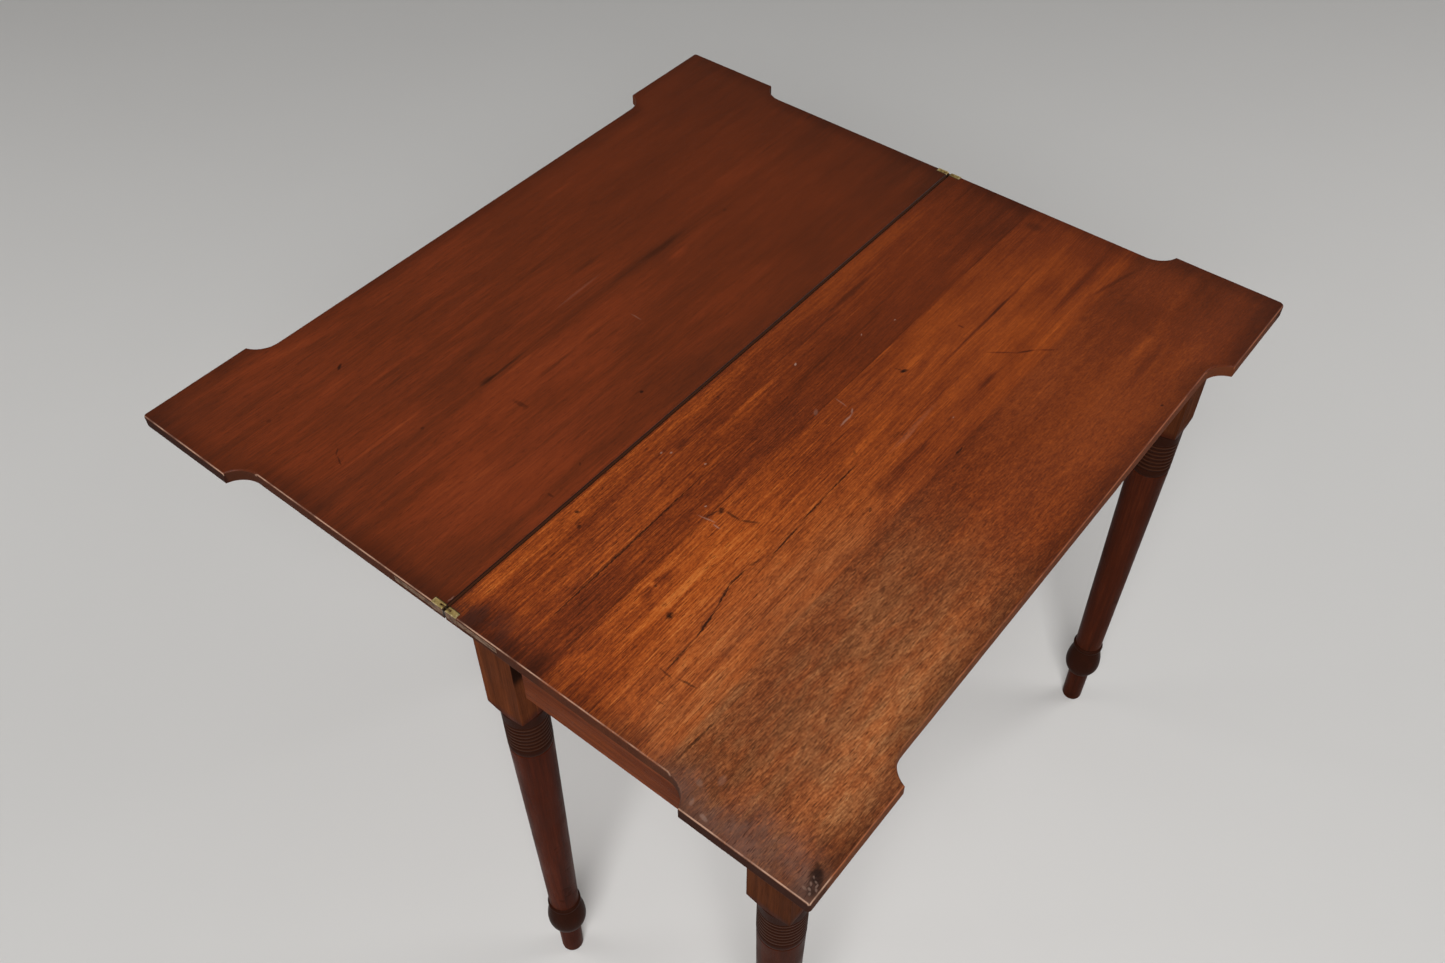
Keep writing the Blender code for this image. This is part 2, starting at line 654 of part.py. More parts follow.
def medial_brace(front_piece, rear_piece):
    bottom = FRAME_TOP - BRACE_THICKNESS
    thing = plate("medial_brace", brace_outline(), "xy", bottom, FRAME_TOP, INNER_WOOD)
    socket = plate("brace_socket", brace_outline(SEAT_GAP), "xy", bottom - SEAT_GAP,
                   FRAME_TOP + CUT_OVERRUN)
    cut(front_piece, socket)
    cut(rear_piece, socket)
    return thing


def glue_block(side_name, side):
    """A three-cornered block glued in the corner between an end rail and the inner rear rail."""
    corner_x = side * (END_RAIL_INNER_X - SEAT_GAP)
    corner_y = INNER_RAIL_FRONT_Y - SEAT_GAP
    outline = [(corner_x, corner_y), (corner_x, corner_y - GLUE_BLOCK_SIDE),
               (corner_x - side * GLUE_BLOCK_SIDE, corner_y)]
    top = FRAME_TOP - GLUE_BLOCK_DROP
    return plate("rear_glue_block_" + side_name, outline, "xy", top - GLUE_BLOCK_HEIGHT, top, INNER_WOOD)


# Knuckle joints and fly rails

def finger_levels(first):
    """Height ranges of every second finger, starting with the one named."""
    return [(RAIL_BOTTOM + FINGER_HEIGHT * level, RAIL_BOTTOM + FINGER_HEIGHT * (level + 1))
            for level in range(first, FINGER_COUNT, 2)]


def finger_gaps(thing, first, x_low, x_high):
    """Clears the other piece's fingers out of a rail."""
    for bottom, top in finger_levels(first):
        low_z = bottom - FINGER_GAP / 2 if bottom > RAIL_BOTTOM else bottom - CUT_OVERRUN
        high_z = top + FINGER_GAP / 2 if top < FRAME_TOP - FINGER_GAP else top + CUT_OVERRUN
        cut(thing, box(thing.name + "_gap", (x_low, FLY_RAIL_FRONT_Y - CUT_OVERRUN, low_z),
                       (x_high, FLY_RAIL_BACK_Y + CUT_OVERRUN, high_z)))


def knuckle_pin_hole(thing, x):
    cut(thing, rod(thing.name + "_pin_hole", (x, FLY_AXIS_Y, RAIL_BOTTOM - CUT_OVERRUN),
                   (x, FLY_AXIS_Y, FRAME_TOP + CUT_OVERRUN), KNUCKLE_PIN_RADIUS + SEAT_GAP, ROUND_SEGMENTS))


def knuckle_block():
    """The fixed middle of the outer rear rail, with three fingers at each end."""
    right = arc((KNUCKLE_AXIS_X, FLY_AXIS_Y), FINGER_RADIUS, -90, 90, KNUCKLE_STEPS)
    thing = plate("knuckle_block", right + mirrored(right), "xy", RAIL_BOTTOM, FRAME_TOP, FLY_WOOD)
    shoulder = KNUCKLE_AXIS_X - FINGER_RADIUS - KNUCKLE_SHOULDER_GAP
    outside = KNUCKLE_AXIS_X + FINGER_RADIUS + CUT_OVERRUN
    for _, side in SIDES:
        ends = sorted((side * shoulder, side * outside))
        finger_gaps(thing, 1, ends[0], ends[1])
        knuckle_pin_hole(thing, side * KNUCKLE_AXIS_X)
    return thing


def knuckle_pin(side_name, side):
    x = side * KNUCKLE_AXIS_X
    return rod("knuckle_pin_" + side_name, (x, FLY_AXIS_Y, RAIL_BOTTOM), (x, FLY_AXIS_Y, FRAME_TOP),
               KNUCKLE_PIN_RADIUS, ROUND_SEGMENTS, IRON)


def fly_rail(side_name, side, fly_leg):
    """A swinging half of the outer rear rail, with two fingers and a bare-faced tenon."""
    name = side_name + "_fly_rail"
    reach = STILE_INNER_X - SEAT_GAP
    end = arc((KNUCKLE_AXIS_X, FLY_AXIS_Y), FINGER_RADIUS, 90, 270, KNUCKLE_STEPS)
    outline = end + [(reach, FLY_RAIL_FRONT_Y), (reach, FLY_RAIL_BACK_Y)]
    thing = plate(name, [(side * x, y) for x, y in outline], "xy", RAIL_BOTTOM, FRAME_TOP, FLY_WOOD)
    tenon_ends = sorted((side * (reach - CUT_OVERRUN), side * (STILE_INNER_X + FLY_TENON_LENGTH)))
    tenon(thing, fly_leg, name + "_tenon",
          (tenon_ends[0], FLY_RAIL_BACK_Y - FLY_TENON_THICKNESS, TENON_LOW_Z),
          (tenon_ends[1], FLY_RAIL_BACK_Y, TENON_HIGH_Z))
    inside = KNUCKLE_AXIS_X - FINGER_RADIUS - CUT_OVERRUN
    shoulder = KNUCKLE_AXIS_X + FINGER_RADIUS + KNUCKLE_SHOULDER_GAP
    gap_ends = sorted((side * inside, side * shoulder))
    finger_gaps(thing, 0, gap_ends[0], gap_ends[1])
    knuckle_pin_hole(thing, side * KNUCKLE_AXIS_X)
    return thing


# Screws

def top_screw(name, rail_piece, leaf_piece, anchor, inward):
    """A screw in a slanted pocket on a rail's inner face, up into the fixed leaf."""
    up = Vector((-inward[0] * math.sin(POCKET_SLANT), -inward[1] * math.sin(POCKET_SLANT),
                 math.cos(POCKET_SLANT)))
    at_top = Vector((*anchor, FRAME_TOP))
    shelf = at_top - up * POCKET_SHELF_DEPTH
    pocket = rod(name + "_pocket", shelf, shelf - up * POCKET_REACH, POCKET_RADIUS, ROUND_SEGMENTS)
    length = POCKET_SHELF_DEPTH + TOP_SCREW_BITE
    tip = at_top + up * TOP_SCREW_BITE
    hole = rod(name + "_hole", shelf - up * CUT_OVERRUN, tip + up * SEAT_GAP, TOP_SCREW_RADIUS + SEAT_GAP,
               SCREW_SEGMENTS)
    cut(rail_piece, pocket, hole)
    cut(leaf_piece, hole)
    profile = [(0, length), (TOP_SCREW_RADIUS, length - SCREW_TIP), (TOP_SCREW_RADIUS, -SEAT_GAP),
               (TOP_SCREW_HEAD_RADIUS, -SEAT_GAP), (TOP_SCREW_HEAD_RADIUS, -TOP_SCREW_HEAD_HEIGHT),
               (0, -TOP_SCREW_HEAD_HEIGHT)]
    aim(turned(name, profile, SCREW_SEGMENTS, IRON), shelf, up)


def block_screw_profile(grow=0.0, overrun=0.0):
    shank = BLOCK_SCREW_RADIUS + grow
    head = BLOCK_SCREW_HEAD_RADIUS + grow
    length = BLOCK_SCREW_LENGTH + grow
    profile = [(0, length), (shank, length - SCREW_TIP), (shank, BLOCK_SCREW_HEAD_DEPTH + grow)]
    profile.append((head, grow))
    if overrun:
        profile.append((head, -overrun))
    return profile + [(0, -overrun)]


def block_screws(rear_piece, block_piece):
    """Four screws through the inner rear rail into the knuckle block."""
    middle = (RAIL_BOTTOM + FRAME_TOP) / 2
    number = 0
    for side in (-1, 1):
        for rise in (-1, 1):
            number += 1
            name = "knuckle_block_screw_" + str(number)
            face = (side * KNUCKLE_AXIS_X * BLOCK_SCREW_SPREAD_SHARE, INNER_RAIL_FRONT_Y,
                    middle + rise * RAIL_HEIGHT * BLOCK_SCREW_RISE_SHARE)
            aim(turned(name, block_screw_profile(), SCREW_SEGMENTS, IRON), face, (0, 1, 0))
            hole = turned(name + "_hole", block_screw_profile(SEAT_GAP, CUT_OVERRUN), SCREW_SEGMENTS)
            aim(hole, face, (0, 1, 0))
            cut(rear_piece, hole)
            cut(block_piece, hole)


# Joints

def axis_empty(name, location):
    empty = bpy.data.objects.new(name, None)
    empty.location = location
    bpy.context.scene.collection.objects.link(empty)
    return empty


def carry(empty, pieces):
    """Parents pieces, and the cutters that shape them, to an empty on their joint's axis."""
    bpy.context.view_layer.update()
    followers = []
    for piece in pieces:
        followers.append(piece)
        followers += [modifier.object for modifier in piece.modifiers if modifier.type == "BOOLEAN"]
    for follower in followers:
        follower.parent = empty
        follower.matrix_parent_inverse = empty.matrix_world.inverted()


def build_table():
    fixed_leaf = leaf("fixed_leaf", -1, FIXED_LEAF_WOOD)
    flip_leaf = leaf("flip_leaf", 1, FLIP_LEAF_WOOD)
    links = [hinge_link(side_name, side) for side_name, side in SIDES]
    flip_pieces = [flip_leaf]
    for side_name, side in SIDES:
        hinge_arm("fixed", -1, side_name, side, fixed_leaf)
        flip_pieces.append(hinge_arm("flip", 1, side_name, side, flip_leaf))
        flip_pieces.append(bpy.data.objects["flip_hinge_pin_" + side_name])
        for number in ("1", "2"):
            flip_pieces.append(bpy.data.objects["flip_hinge_screw_" + side_name + "_" + number])

    front_legs = {side_name: leg("front_" + side_name + "_leg", side * LEG_X, FRONT_LEG_Y)
                  for side_name, side in SIDES}
    fly_legs = {side_name: leg(side_name + "_fly_leg", side * LEG_X, REAR_LEG_Y)
                for side_name, side in SIDES}
    front = front_rail(front_legs)
    ends = {side_name: end_rail(side_name, side, front_legs[side_name]) for side_name, side in SIDES}
    rear = inner_rear_rail()
    medial_brace(front, rear)
    block = knuckle_block()
    fly_rails = {}
    for side_name, side in SIDES:
        glue_block(side_name, side)
        knuckle_pin(side_name, side)
        fly_rails[side_name] = fly_rail(side_name, side, fly_legs[side_name])
    block_screws(rear, block)

    front_middle = (FRONT_RAIL_FACE_Y + FRONT_RAIL_BACK_Y) / 2
    rear_middle = (INNER_RAIL_FRONT_Y + BOX_REAR_Y) / 2
    end_middle = (END_RAIL_INNER_X + END_RAIL_FACE_X) / 2
    end_rail_middle_y = (FRONT_LEG_Y + HALF_STILE + BOX_REAR_Y) / 2
    spread = STILE_INNER_X * TOP_SCREW_SPREAD_SHARE
    number = 0
    for side_name, side in SIDES:
        for piece, anchor, inward in ((front, (side * spread, front_middle), (0, 1)),
                                      (ends[side_name], (side * end_middle, end_rail_middle_y), (-side, 0)),
                                      (rear, (side * spread, rear_middle), (0, -1))):
            number += 1
            top_screw("top_screw_" + str(number), piece, fixed_leaf, anchor, inward)

    link_axis = axis_empty("link_axis", (0, -LINK_HALF_SPAN, PIN_Z))
    leaf_axis = axis_empty("leaf_axis", (0, LINK_HALF_SPAN, PIN_Z))
    carry(link_axis, links)
    carry(leaf_axis, flip_pieces)
    leaf_axis.parent = link_axis
    leaf_axis.matrix_parent_inverse = link_axis.matrix_world.inverted()
    for side_name, side in SIDES:
        swing_axis = axis_empty(side_name + "_fly_axis", (side * KNUCKLE_AXIS_X, FLY_AXIS_Y, RAIL_BOTTOM))
        carry(swing_axis, [fly_rails[side_name], fly_legs[side_name]])
        if side_name == "right":
            swing_axis.rotation_euler = (0, 0, SWUNG_OUT)


build_table()
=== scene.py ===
import math

import bmesh
import bpy
from mathutils import Matrix, Vector, noise


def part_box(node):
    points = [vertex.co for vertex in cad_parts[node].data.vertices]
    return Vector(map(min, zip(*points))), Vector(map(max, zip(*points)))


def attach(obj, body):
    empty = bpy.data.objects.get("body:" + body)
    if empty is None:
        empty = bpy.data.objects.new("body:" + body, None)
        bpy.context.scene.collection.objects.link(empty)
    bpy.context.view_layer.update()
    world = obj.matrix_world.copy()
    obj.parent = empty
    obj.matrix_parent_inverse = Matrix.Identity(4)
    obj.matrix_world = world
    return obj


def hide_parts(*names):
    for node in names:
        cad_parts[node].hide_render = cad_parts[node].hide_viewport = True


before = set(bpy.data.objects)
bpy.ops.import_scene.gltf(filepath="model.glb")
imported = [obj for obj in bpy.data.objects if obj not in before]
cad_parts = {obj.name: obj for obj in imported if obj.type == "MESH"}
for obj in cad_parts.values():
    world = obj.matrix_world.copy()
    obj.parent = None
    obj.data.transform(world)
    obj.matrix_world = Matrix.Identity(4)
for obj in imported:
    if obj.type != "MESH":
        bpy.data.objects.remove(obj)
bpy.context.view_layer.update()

# Open flip-top card table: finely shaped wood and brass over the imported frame.
# Metres, in the frame's own axes: +X along the joint between the leaves, +Z up.

MM = 0.001
PERCENT = 0.01
SIDES = (("left", -1), ("right", 1))
LEAVES = (("fixed", -1), ("flip", 1))
LEAF_BODY = {"fixed": "frame", "flip": "flip_top"}

# Sizes read from the frame
FIXED_LOW, FIXED_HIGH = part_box("fixed_leaf")
HALF_WIDTH = FIXED_HIGH.x
LEAF_DEPTH = -FIXED_LOW.y
JOINT_EDGE = -FIXED_HIGH.y
TOP = FIXED_HIGH.z
UNDERSIDE = FIXED_LOW.z
LEAF_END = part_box("fixed_hinge_arm_right")[1].x
OUTSET_STEP = HALF_WIDTH - LEAF_END
LONG_EDGE = LEAF_DEPTH - OUTSET_STEP
LEG_LOW, LEG_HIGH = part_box("front_left_leg")
FRAME_TOP = LEG_HIGH.z
HALF_STILE = (LEG_HIGH.x - LEG_LOW.x) / 2
RAIL_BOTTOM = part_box("left_end_rail")[0].z

# Leaf plan and edges
OUTSET_LENGTH = 0.1305
COVE_RADIUS = 0.029
OUTSET_CORNER_RADIUS = 0.0038
WORN_CORNER_RADIUS = 0.0065
ARRIS_RADIUS = 0.0022
EDGE_RUN = 0.009
EDGE_WANDER = 0.00022
WANDER_GRAINS = (34, 34, 60)
FIT = 0.0003
WELD = FIT / 30
OVERRUN = 0.004

# Leg turning, as radii and heights
SHOULDER_HEIGHT = 0.5886
SHOULDER_DROP = 0.0047
SHOULDER_MARGIN = 0.0014
QUIRK_HEIGHT = 0.0022
QUIRK_DEPTH = 0.0011
EDGE_DROP = 0.001
TURNING_RADIUS = 0.0242
BAND_HEIGHT = 0.0136
RING_COUNT = 7
RING_PITCH = 0.0063
RING_DEPTH = 0.0013
LOWER_BAND_HEIGHT = 0.001
LOWER_BEAD_HEIGHT = 0.0102
BODY_TOP_RADIUS = 0.0239
BODY_BOTTOM_RADIUS = 0.0183
BODY_BOTTOM_HEIGHT = 0.133
COLLAR_RADIUS = 0.0206
COLLAR_HEIGHT = 0.008
BULB_TOP_RADIUS = 0.0172
BULB_RADIUS = 0.0241
BULB_WIDEST_HEIGHT = 0.0885
PEG_TOP_HEIGHT = 0.065
PEG_TOP_RADIUS = 0.0145
PEG_FOOT_RADIUS = 0.0137
PEG_EDGE_RADIUS = 0.0024
STILE_ARRIS = 0.0008

STILE_CORNER = HALF_STILE * math.sqrt(2)
SHOULDER_SLOPE = SHOULDER_DROP / (STILE_CORNER - HALF_STILE)
QUIRK_RADIUS = TURNING_RADIUS - QUIRK_DEPTH
QUIRK_TOP = SHOULDER_HEIGHT - (STILE_CORNER - QUIRK_RADIUS) * SHOULDER_SLOPE
BAND_TOP = QUIRK_TOP - QUIRK_HEIGHT - EDGE_DROP
RINGS_TOP = BAND_TOP - BAND_HEIGHT - EDGE_DROP
RINGS_BOTTOM = RINGS_TOP - RING_COUNT * RING_PITCH
BEAD_TOP = RINGS_BOTTOM - LOWER_BAND_HEIGHT
BEAD_BOTTOM = BEAD_TOP - LOWER_BEAD_HEIGHT
COLLAR_TOP = BODY_BOTTOM_HEIGHT - EDGE_DROP
BULB_TOP = COLLAR_TOP - COLLAR_HEIGHT

# Brass hinges
PIN_SPREAD = 0.004
PIN_DEPTH = 0.0037
PIN_RADIUS = 0.0012
HEAD_LENGTH = 0.0158
HEAD_WIDTH = 0.0065
HEAD_DEPTH = 0.0105
LINK_THICKNESS = 0.0015
LINK_HALF_HEIGHT = 0.003
STRIP_LENGTH = 0.05
STRIP_THICKNESS = 0.0022
STRIP_COVER = 0.003
STRIP_RISE = 0.0006
STRIP_SETBACK = 0.0002
SCREW_SHARES = (0.24, 0.82)
SCREW_HEAD_RADIUS = 0.003
SCREW_HEAD_DEPTH = 0.0015
SCREW_RADIUS = 0.0015
SCREW_LENGTH = 0.018
SCREW_STEPS = 40
PIN_STEPS = 32
SCREW_TIP = 0.003
BRASS_ARRIS = 0.00028
PIN_FIT = 0.00012
SLOT_WIDTH = 0.0008
SLOT_DEPTH = 0.0007
PIN_Z = TOP - PIN_DEPTH
HEAD_BOTTOM = TOP - HEAD_DEPTH
STRIP_TOP = TOP - STRIP_COVER
STRIP_BOTTOM = HEAD_BOTTOM + STRIP_RISE
STRIP_MIDDLE = (STRIP_BOTTOM + STRIP_TOP) / 2
STRIP_FACE = LEAF_END - STRIP_SETBACK
HEAD_MIDDLE = LEAF_END - HEAD_WIDTH / 2

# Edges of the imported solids, and the steps and angles of curves and shading
RAIL_EASE = 0.0006
BLOCK_EASE = 0.0008
PIN_EASE = 0.0003
SCREW_EASE = 0.0002
TURNING_STEPS = 96
COVE_STEPS = 24
BULB_STEPS = 14
BEAD_STEPS = 12
CORNER_STEPS = 10
EDGE_STEPS = 4
FLAT = math.radians(0.5)
SHARP = math.radians(50)
STEEP = math.radians(60)


# Shapes

def put(name, mesh):
    thing = bpy.data.objects.new(name, mesh)
    bpy.context.scene.collection.objects.link(thing)
    return thing


def from_bmesh(name, work):
    bmesh.ops.recalc_face_normals(work, faces=work.faces)
    mesh = bpy.data.meshes.new(name)
    work.to_mesh(mesh)
    work.free()
    return put(name, mesh)


XY_PLANE = Matrix.Identity(4)
YZ_PLANE = Matrix(((0, 0, 1, 0), (1, 0, 0, 0), (0, 1, 0, 0), (0, 0, 0, 1)))


def slab(name, outline, plane, low, high):
    """A flat outline in a plane, given thickness between low and high on the third axis."""
    work = bmesh.new()
    face = work.faces.new([work.verts.new((across, up, 0)) for across, up in outline])
    extruded = bmesh.ops.extrude_face_region(work, geom=[face])["geom"]
    far = [item for item in extruded if isinstance(item, bmesh.types.BMVert)]
    bmesh.ops.translate(work, verts=far, vec=(0, 0, high - low))
    bmesh.ops.transform(work, matrix=plane @ Matrix.Translation((0, 0, low)), verts=work.verts)
    return from_bmesh(name, work)


def brick(name, corner, opposite):
    size = [abs(b - a) for a, b in zip(corner, opposite)]
    middle = [(a + b) / 2 for a, b in zip(corner, opposite)]
    work = bmesh.new()
    bmesh.ops.create_cube(work, size=1, matrix=Matrix.Translation(middle) @ Matrix.Diagonal((*size, 1)))
    return from_bmesh(name, work)


def turned(name, profile, steps):
    """A profile of (radius, height) points, top to bottom, turned round Z."""
    work = bmesh.new()
    rings = []
    for radius, height in profile:
        angles = [math.tau * step / steps for step in range(steps if radius else 1)]
        rings.append([work.verts.new((radius * math.cos(angle), radius * math.sin(angle), height))
                      for angle in angles])
    for upper, lower in zip(rings, rings[1:]):
        for step in range(steps):
            after = (step + 1) % steps
            corners = [upper[step % len(upper)], lower[step % len(lower)],
                       lower[after % len(lower)], upper[after % len(upper)]]
            work.faces.new(list(dict.fromkeys(corners)))
    return from_bmesh(name, work)


def aim(thing, start, direction):
    """Stands a turned piece at a point with its Z along a direction, in its mesh."""
    turn = Vector(direction).to_track_quat("Z", "Y").to_matrix().to_4x4()
    thing.data.transform(Matrix.Translation(start) @ turn)
    return thing


def arc(centre, radius, start, end, steps):
    """Points along an arc, both ends included; angles in degrees."""
    points = []
    for step in range(steps + 1):
        angle = math.radians(start + (end - start) * step / steps)
        points.append((centre[0] + radius * math.cos(angle), centre[1] + radius * math.sin(angle)))
    return points


def mirrored(points):
    return [(-across, up) for across, up in reversed(points)]


def settle(thing):
    """Turns a piece's modifiers into mesh."""
    bpy.context.view_layer.update()
    graph = bpy.context.evaluated_depsgraph_get()
    mesh = bpy.data.meshes.new_from_object(thing.evaluated_get(graph))
    thing.modifiers.clear()
    thing.data = mesh
    return thing


def boolean(thing, *cutters, operation="DIFFERENCE"):
    """Cuts a piece, or joins or crosses it with others, and removes what cut it."""
    for cutter in cutters:
        step = thing.modifiers.new("boolean", "BOOLEAN")
        step.operation = operation
        step.solver = "EXACT"
        step.object = cutter
    settle(thing)
    for cutter in cutters:
        bpy.data.objects.remove(cutter, do_unlink=True)


def clean(thing):
    work = bmesh.new()
    work.from_mesh(thing.data)
    bmesh.ops.remove_doubles(work, verts=work.verts, dist=WELD)
    bmesh.ops.dissolve_limit(work, angle_limit=FLAT, verts=work.verts, edges=work.edges)
    work.to_mesh(thing.data)
    work.free()
    return thing


def shade(thing, angle):
    thing.data.shade_smooth()
    thing.data.set_sharp_from_angle(angle=math.radians(angle))
    thing.modifiers.new("normals", "WEIGHTED_NORMAL").keep_sharp = True
    return settle(thing)


def add_bevel(thing, width, segments):
    bevel = thing.modifiers.new("arris", "BEVEL")
    bevel.width = width
    bevel.segments = segments
    bevel.limit_method = "ANGLE"
    bevel.angle_limit = SHARP
    return bevel


def soften(thing, width, segments):
    """Rounds the sharp edges and shades the piece smooth."""
    add_bevel(clean(thing), width, segments)
    settle(thing)
    return shade(thing, 35)


def dress(thing, body, finish, node):
    """Gives a piece its finish and body, and hides the solid that it stands for."""
    thing.data.materials.clear()
    thing.data.materials.append(finish)
    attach(thing, body)
    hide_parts(node)


# Finishes

def rgb(code):
    """A colour written as a screen would show it, made linear."""
    values = []
    for start in (0, 2, 4):
        value = int(code[start:start + 2], 16) / 255
        values.append(value / 12.92 if value <= 0.04045 else ((value + 0.055) / 1.055) ** 2.4)
    return (*values, 1.0)


class Finish:
    """One node material, whose nodes are made in the order of their links, as Cycles needs."""

    def __init__(self, name, specular=0.5, metallic=0):
        self.material = bpy.data.materials.new(name)
        self.material.use_nodes = True
        self.nodes = self.material.node_tree.nodes
        self.links = self.material.node_tree.links
        self.shader = self.nodes["Principled BSDF"]
        self.shader.inputs["Specular IOR Level"].default_value = specular
        self.shader.inputs["Metallic"].default_value = metallic
        self.place = self.nodes.new("ShaderNodeTexCoord").outputs["Object"]
        split = self.nodes.new("ShaderNodeSeparateXYZ")
        self.links.new(self.place, split.inputs[0])
        self.x, self.y, self.z = split.outputs

    def feed(self, socket, value):
        """Links a socket, or sets it to a number or to a colour's code."""
        if isinstance(value, bpy.types.NodeSocket):
            self.links.new(value, socket)
        else:
            socket.default_value = rgb(value) if isinstance(value, str) else value

    def math(self, operation, first, second=0):
        node = self.nodes.new("ShaderNodeMath")
        node.operation = operation
        self.feed(node.inputs[0], first)
        self.feed(node.inputs[1], second)
        return node.outputs[0]

    def chain(self, operation, values):
        """Values put together in order by one operation."""
        result = values[0]
        for value in values[1:]:
            result = self.math(operation, result, value)
        return result

    def total(self, *values):
        return self.chain("ADD", values)

    def times(self, *values):
        return self.chain("MULTIPLY", values)

    def most(self, *values):
        return self.chain("MAXIMUM", values)

    def least(self, *values):
        return self.chain("MINIMUM", values)

    def less(self, first, second):
        return self.math("SUBTRACT", first, second)

    def size(self, value):
        return self.math("ABSOLUTE", value)

    def ramp(self, value, low, high, start=0, end=1):
        """Smooth step from start at low to end at high."""
        node = self.nodes.new("ShaderNodeMapRange")
        node.interpolation_type = "SMOOTHSTEP"
        falling = low > high
        settings = (value, high, low, end, start) if falling else (value, low, high, start, end)
        for socket, setting in zip(node.inputs, settings):
            self.feed(socket, setting)
        return node.outputs[0]

    def mapped(self, source, place, turn, scale):
        """A source as seen from a place, turned about Z by degrees, with a size for each axis."""
        mapping = self.nodes.new("ShaderNodeMapping")
        mapping.vector_type = "TEXTURE"
        settings = (source, place, (0, 0, math.radians(turn)), scale)
        for socket, setting in zip(mapping.inputs, settings):
            self.feed(socket, setting)
        return mapping.outputs[0]

    def noise(self, scale, detail=4, roughness=0.55, distortion=0, source=None, turn=0):
        """Noise with this many grains to the metre along each axis, turned about Z by degrees."""
        place = self.mapped(source or self.place, (0, 0, 0), turn, [1 / part for part in scale])
        node = self.nodes.new("ShaderNodeTexNoise")
        settings = {"Vector": place, "Scale": 1, "Detail": detail, "Roughness": roughness,
                    "Distortion": distortion}
        for name, setting in settings.items():
            self.feed(node.inputs[name], setting)
        return node.outputs["Fac"]

    def grain(self, along, across, length, source=None, detail=4, roughness=0.6, distortion=0.3,
              turn=0):
        """Noise drawn out along one axis: grains to the metre across it and along it."""
        scale = [across] * 3
        scale[along] = length
        return self.noise(scale, detail, roughness, distortion, source, turn)

    def mixed(self, *parts):
        """Noises weighed about a middle of 0.5, from (noise, weight) pairs."""
        return self.total(0.5, *[self.times(self.less(noise, 0.5), weight) for noise, weight in parts])

    def mix(self, share, first, second):
        node = self.nodes.new("ShaderNodeMix")
        node.data_type = "RGBA"
        self.feed(node.inputs[0], share)
        self.feed(node.inputs[6], first)
        self.feed(node.inputs[7], second)
        return node.outputs[2]

    def colour_ramp(self, value, stops):
        """Colours along a value, from (position, colour) pairs."""
        node = self.nodes.new("ShaderNodeValToRGB")
        self.feed(node.inputs[0], value)
        elements = node.color_ramp.elements
        while len(elements) < len(stops):
            elements.new(0.5)
        for element, (position, colour) in zip(elements, stops):
            element.position = position
            element.color = colour
        return node.outputs[0]

    def shades(self, value, *stops):
        """Colours along a value, from (position, code) pairs."""
        return self.colour_ramp(value, [(position, rgb(code)) for position, code in stops])

    def profile(self, value, stops):
        """A number that follows a place, from (millimetre, percent) pairs within 50 percent."""
        low, high = stops[0][0], stops[-1][0]
        share = self.math("DIVIDE", self.less(value, low * MM), (high - low) * MM)
        greys = [((at - low) / (high - low), (0.5 + percent * PERCENT,) * 3 + (1,))
                 for at, percent in stops]
        return self.less(self.colour_ramp(share, greys), 0.5)

    def moved(self, amounts, scale, detail=2):
        """The place, moved to and fro by noise, with an amount in metres along each axis."""
        join = self.nodes.new("ShaderNodeCombineXYZ")
        for number, value in enumerate((self.x, self.y, self.z)):
            if amounts[number]:
                shifted = [part * (number + 1) for part in scale]
                wander = self.less(self.noise(shifted, detail), 0.5)
                value = self.total(value, self.times(wander, amounts[number]))
            self.feed(join.inputs[number], value)
        return join.outputs[0]

    def spot(self, source, x, y, length, width, turn=0):
        """1 at a point of the top, falling to 0 at the rim of an ellipse, all in millimetres."""
        place = self.mapped(source, (x * MM, y * MM, TOP), turn, (length / 2 * MM, width / 2 * MM, 1))
        gradient = self.nodes.new("ShaderNodeTexGradient")
        gradient.gradient_type = "SPHERICAL"
        self.links.new(place, gradient.inputs[0])
        return gradient.outputs["Fac"]

    def marked(self, marks, source, full, combine):
        """Soft ellipses put together, each at full strength where its spot reaches a value."""
        result = 0
        for percent, *ellipse in marks:
            spot = self.spot(source, *ellipse)
            result = combine(self.ramp(spot, 0, full, 0, percent * PERCENT), result)
        return result

    def spots(self, marks, source):
        """The strongest of several marks."""
        return self.marked(marks, source, 0.6, self.most)

    def streaks(self, marks, source):
        """The sum of several marks that lighten or darken."""
        return self.marked(marks, source, 0.8, self.total)

    def bump(self, height, distance, strength):
        node = self.nodes.new("ShaderNodeBump")
        node.inputs["Strength"].default_value = strength
        node.inputs["Distance"].default_value = distance
        self.feed(node.inputs["Height"], height)
        before = self.shader.inputs["Normal"]
        if before.is_linked:
            self.feed(node.inputs["Normal"], before.links[0].from_socket)
        self.links.new(node.outputs[0], before)

    def done(self, colour, roughness):
        self.feed(self.shader.inputs["Base Color"], colour)
        self.feed(self.shader.inputs["Roughness"], roughness)
        return self.material


REAR_SEAM_Y = -0.1168
FRONT_SEAM_Y = -0.2555
LEAF_SPECULAR = 0.11
SHOW_WOOD_SPECULAR = 0.014
PORE_RELIEF = 0.12 * MM
DARK_MARK = "170b07"
PALE_MARK = "b09080"
EDGE_SHADE = "2a120a"
RUBBED = "8f5330"
# Paler arris colours at the left ends and the front edge: worn finish with a painted highlight.
WORN_AND_LIT_END = "c09a82"
WORN_AND_LIT_FRONT = "9c5c3c"
EDGE_GRAIN = "6e3f26"
DRY_UNDERSIDE = "70452a"
DUST_AND_SHEEN_GREY = "80645a"
END_STAIN = "43251c"
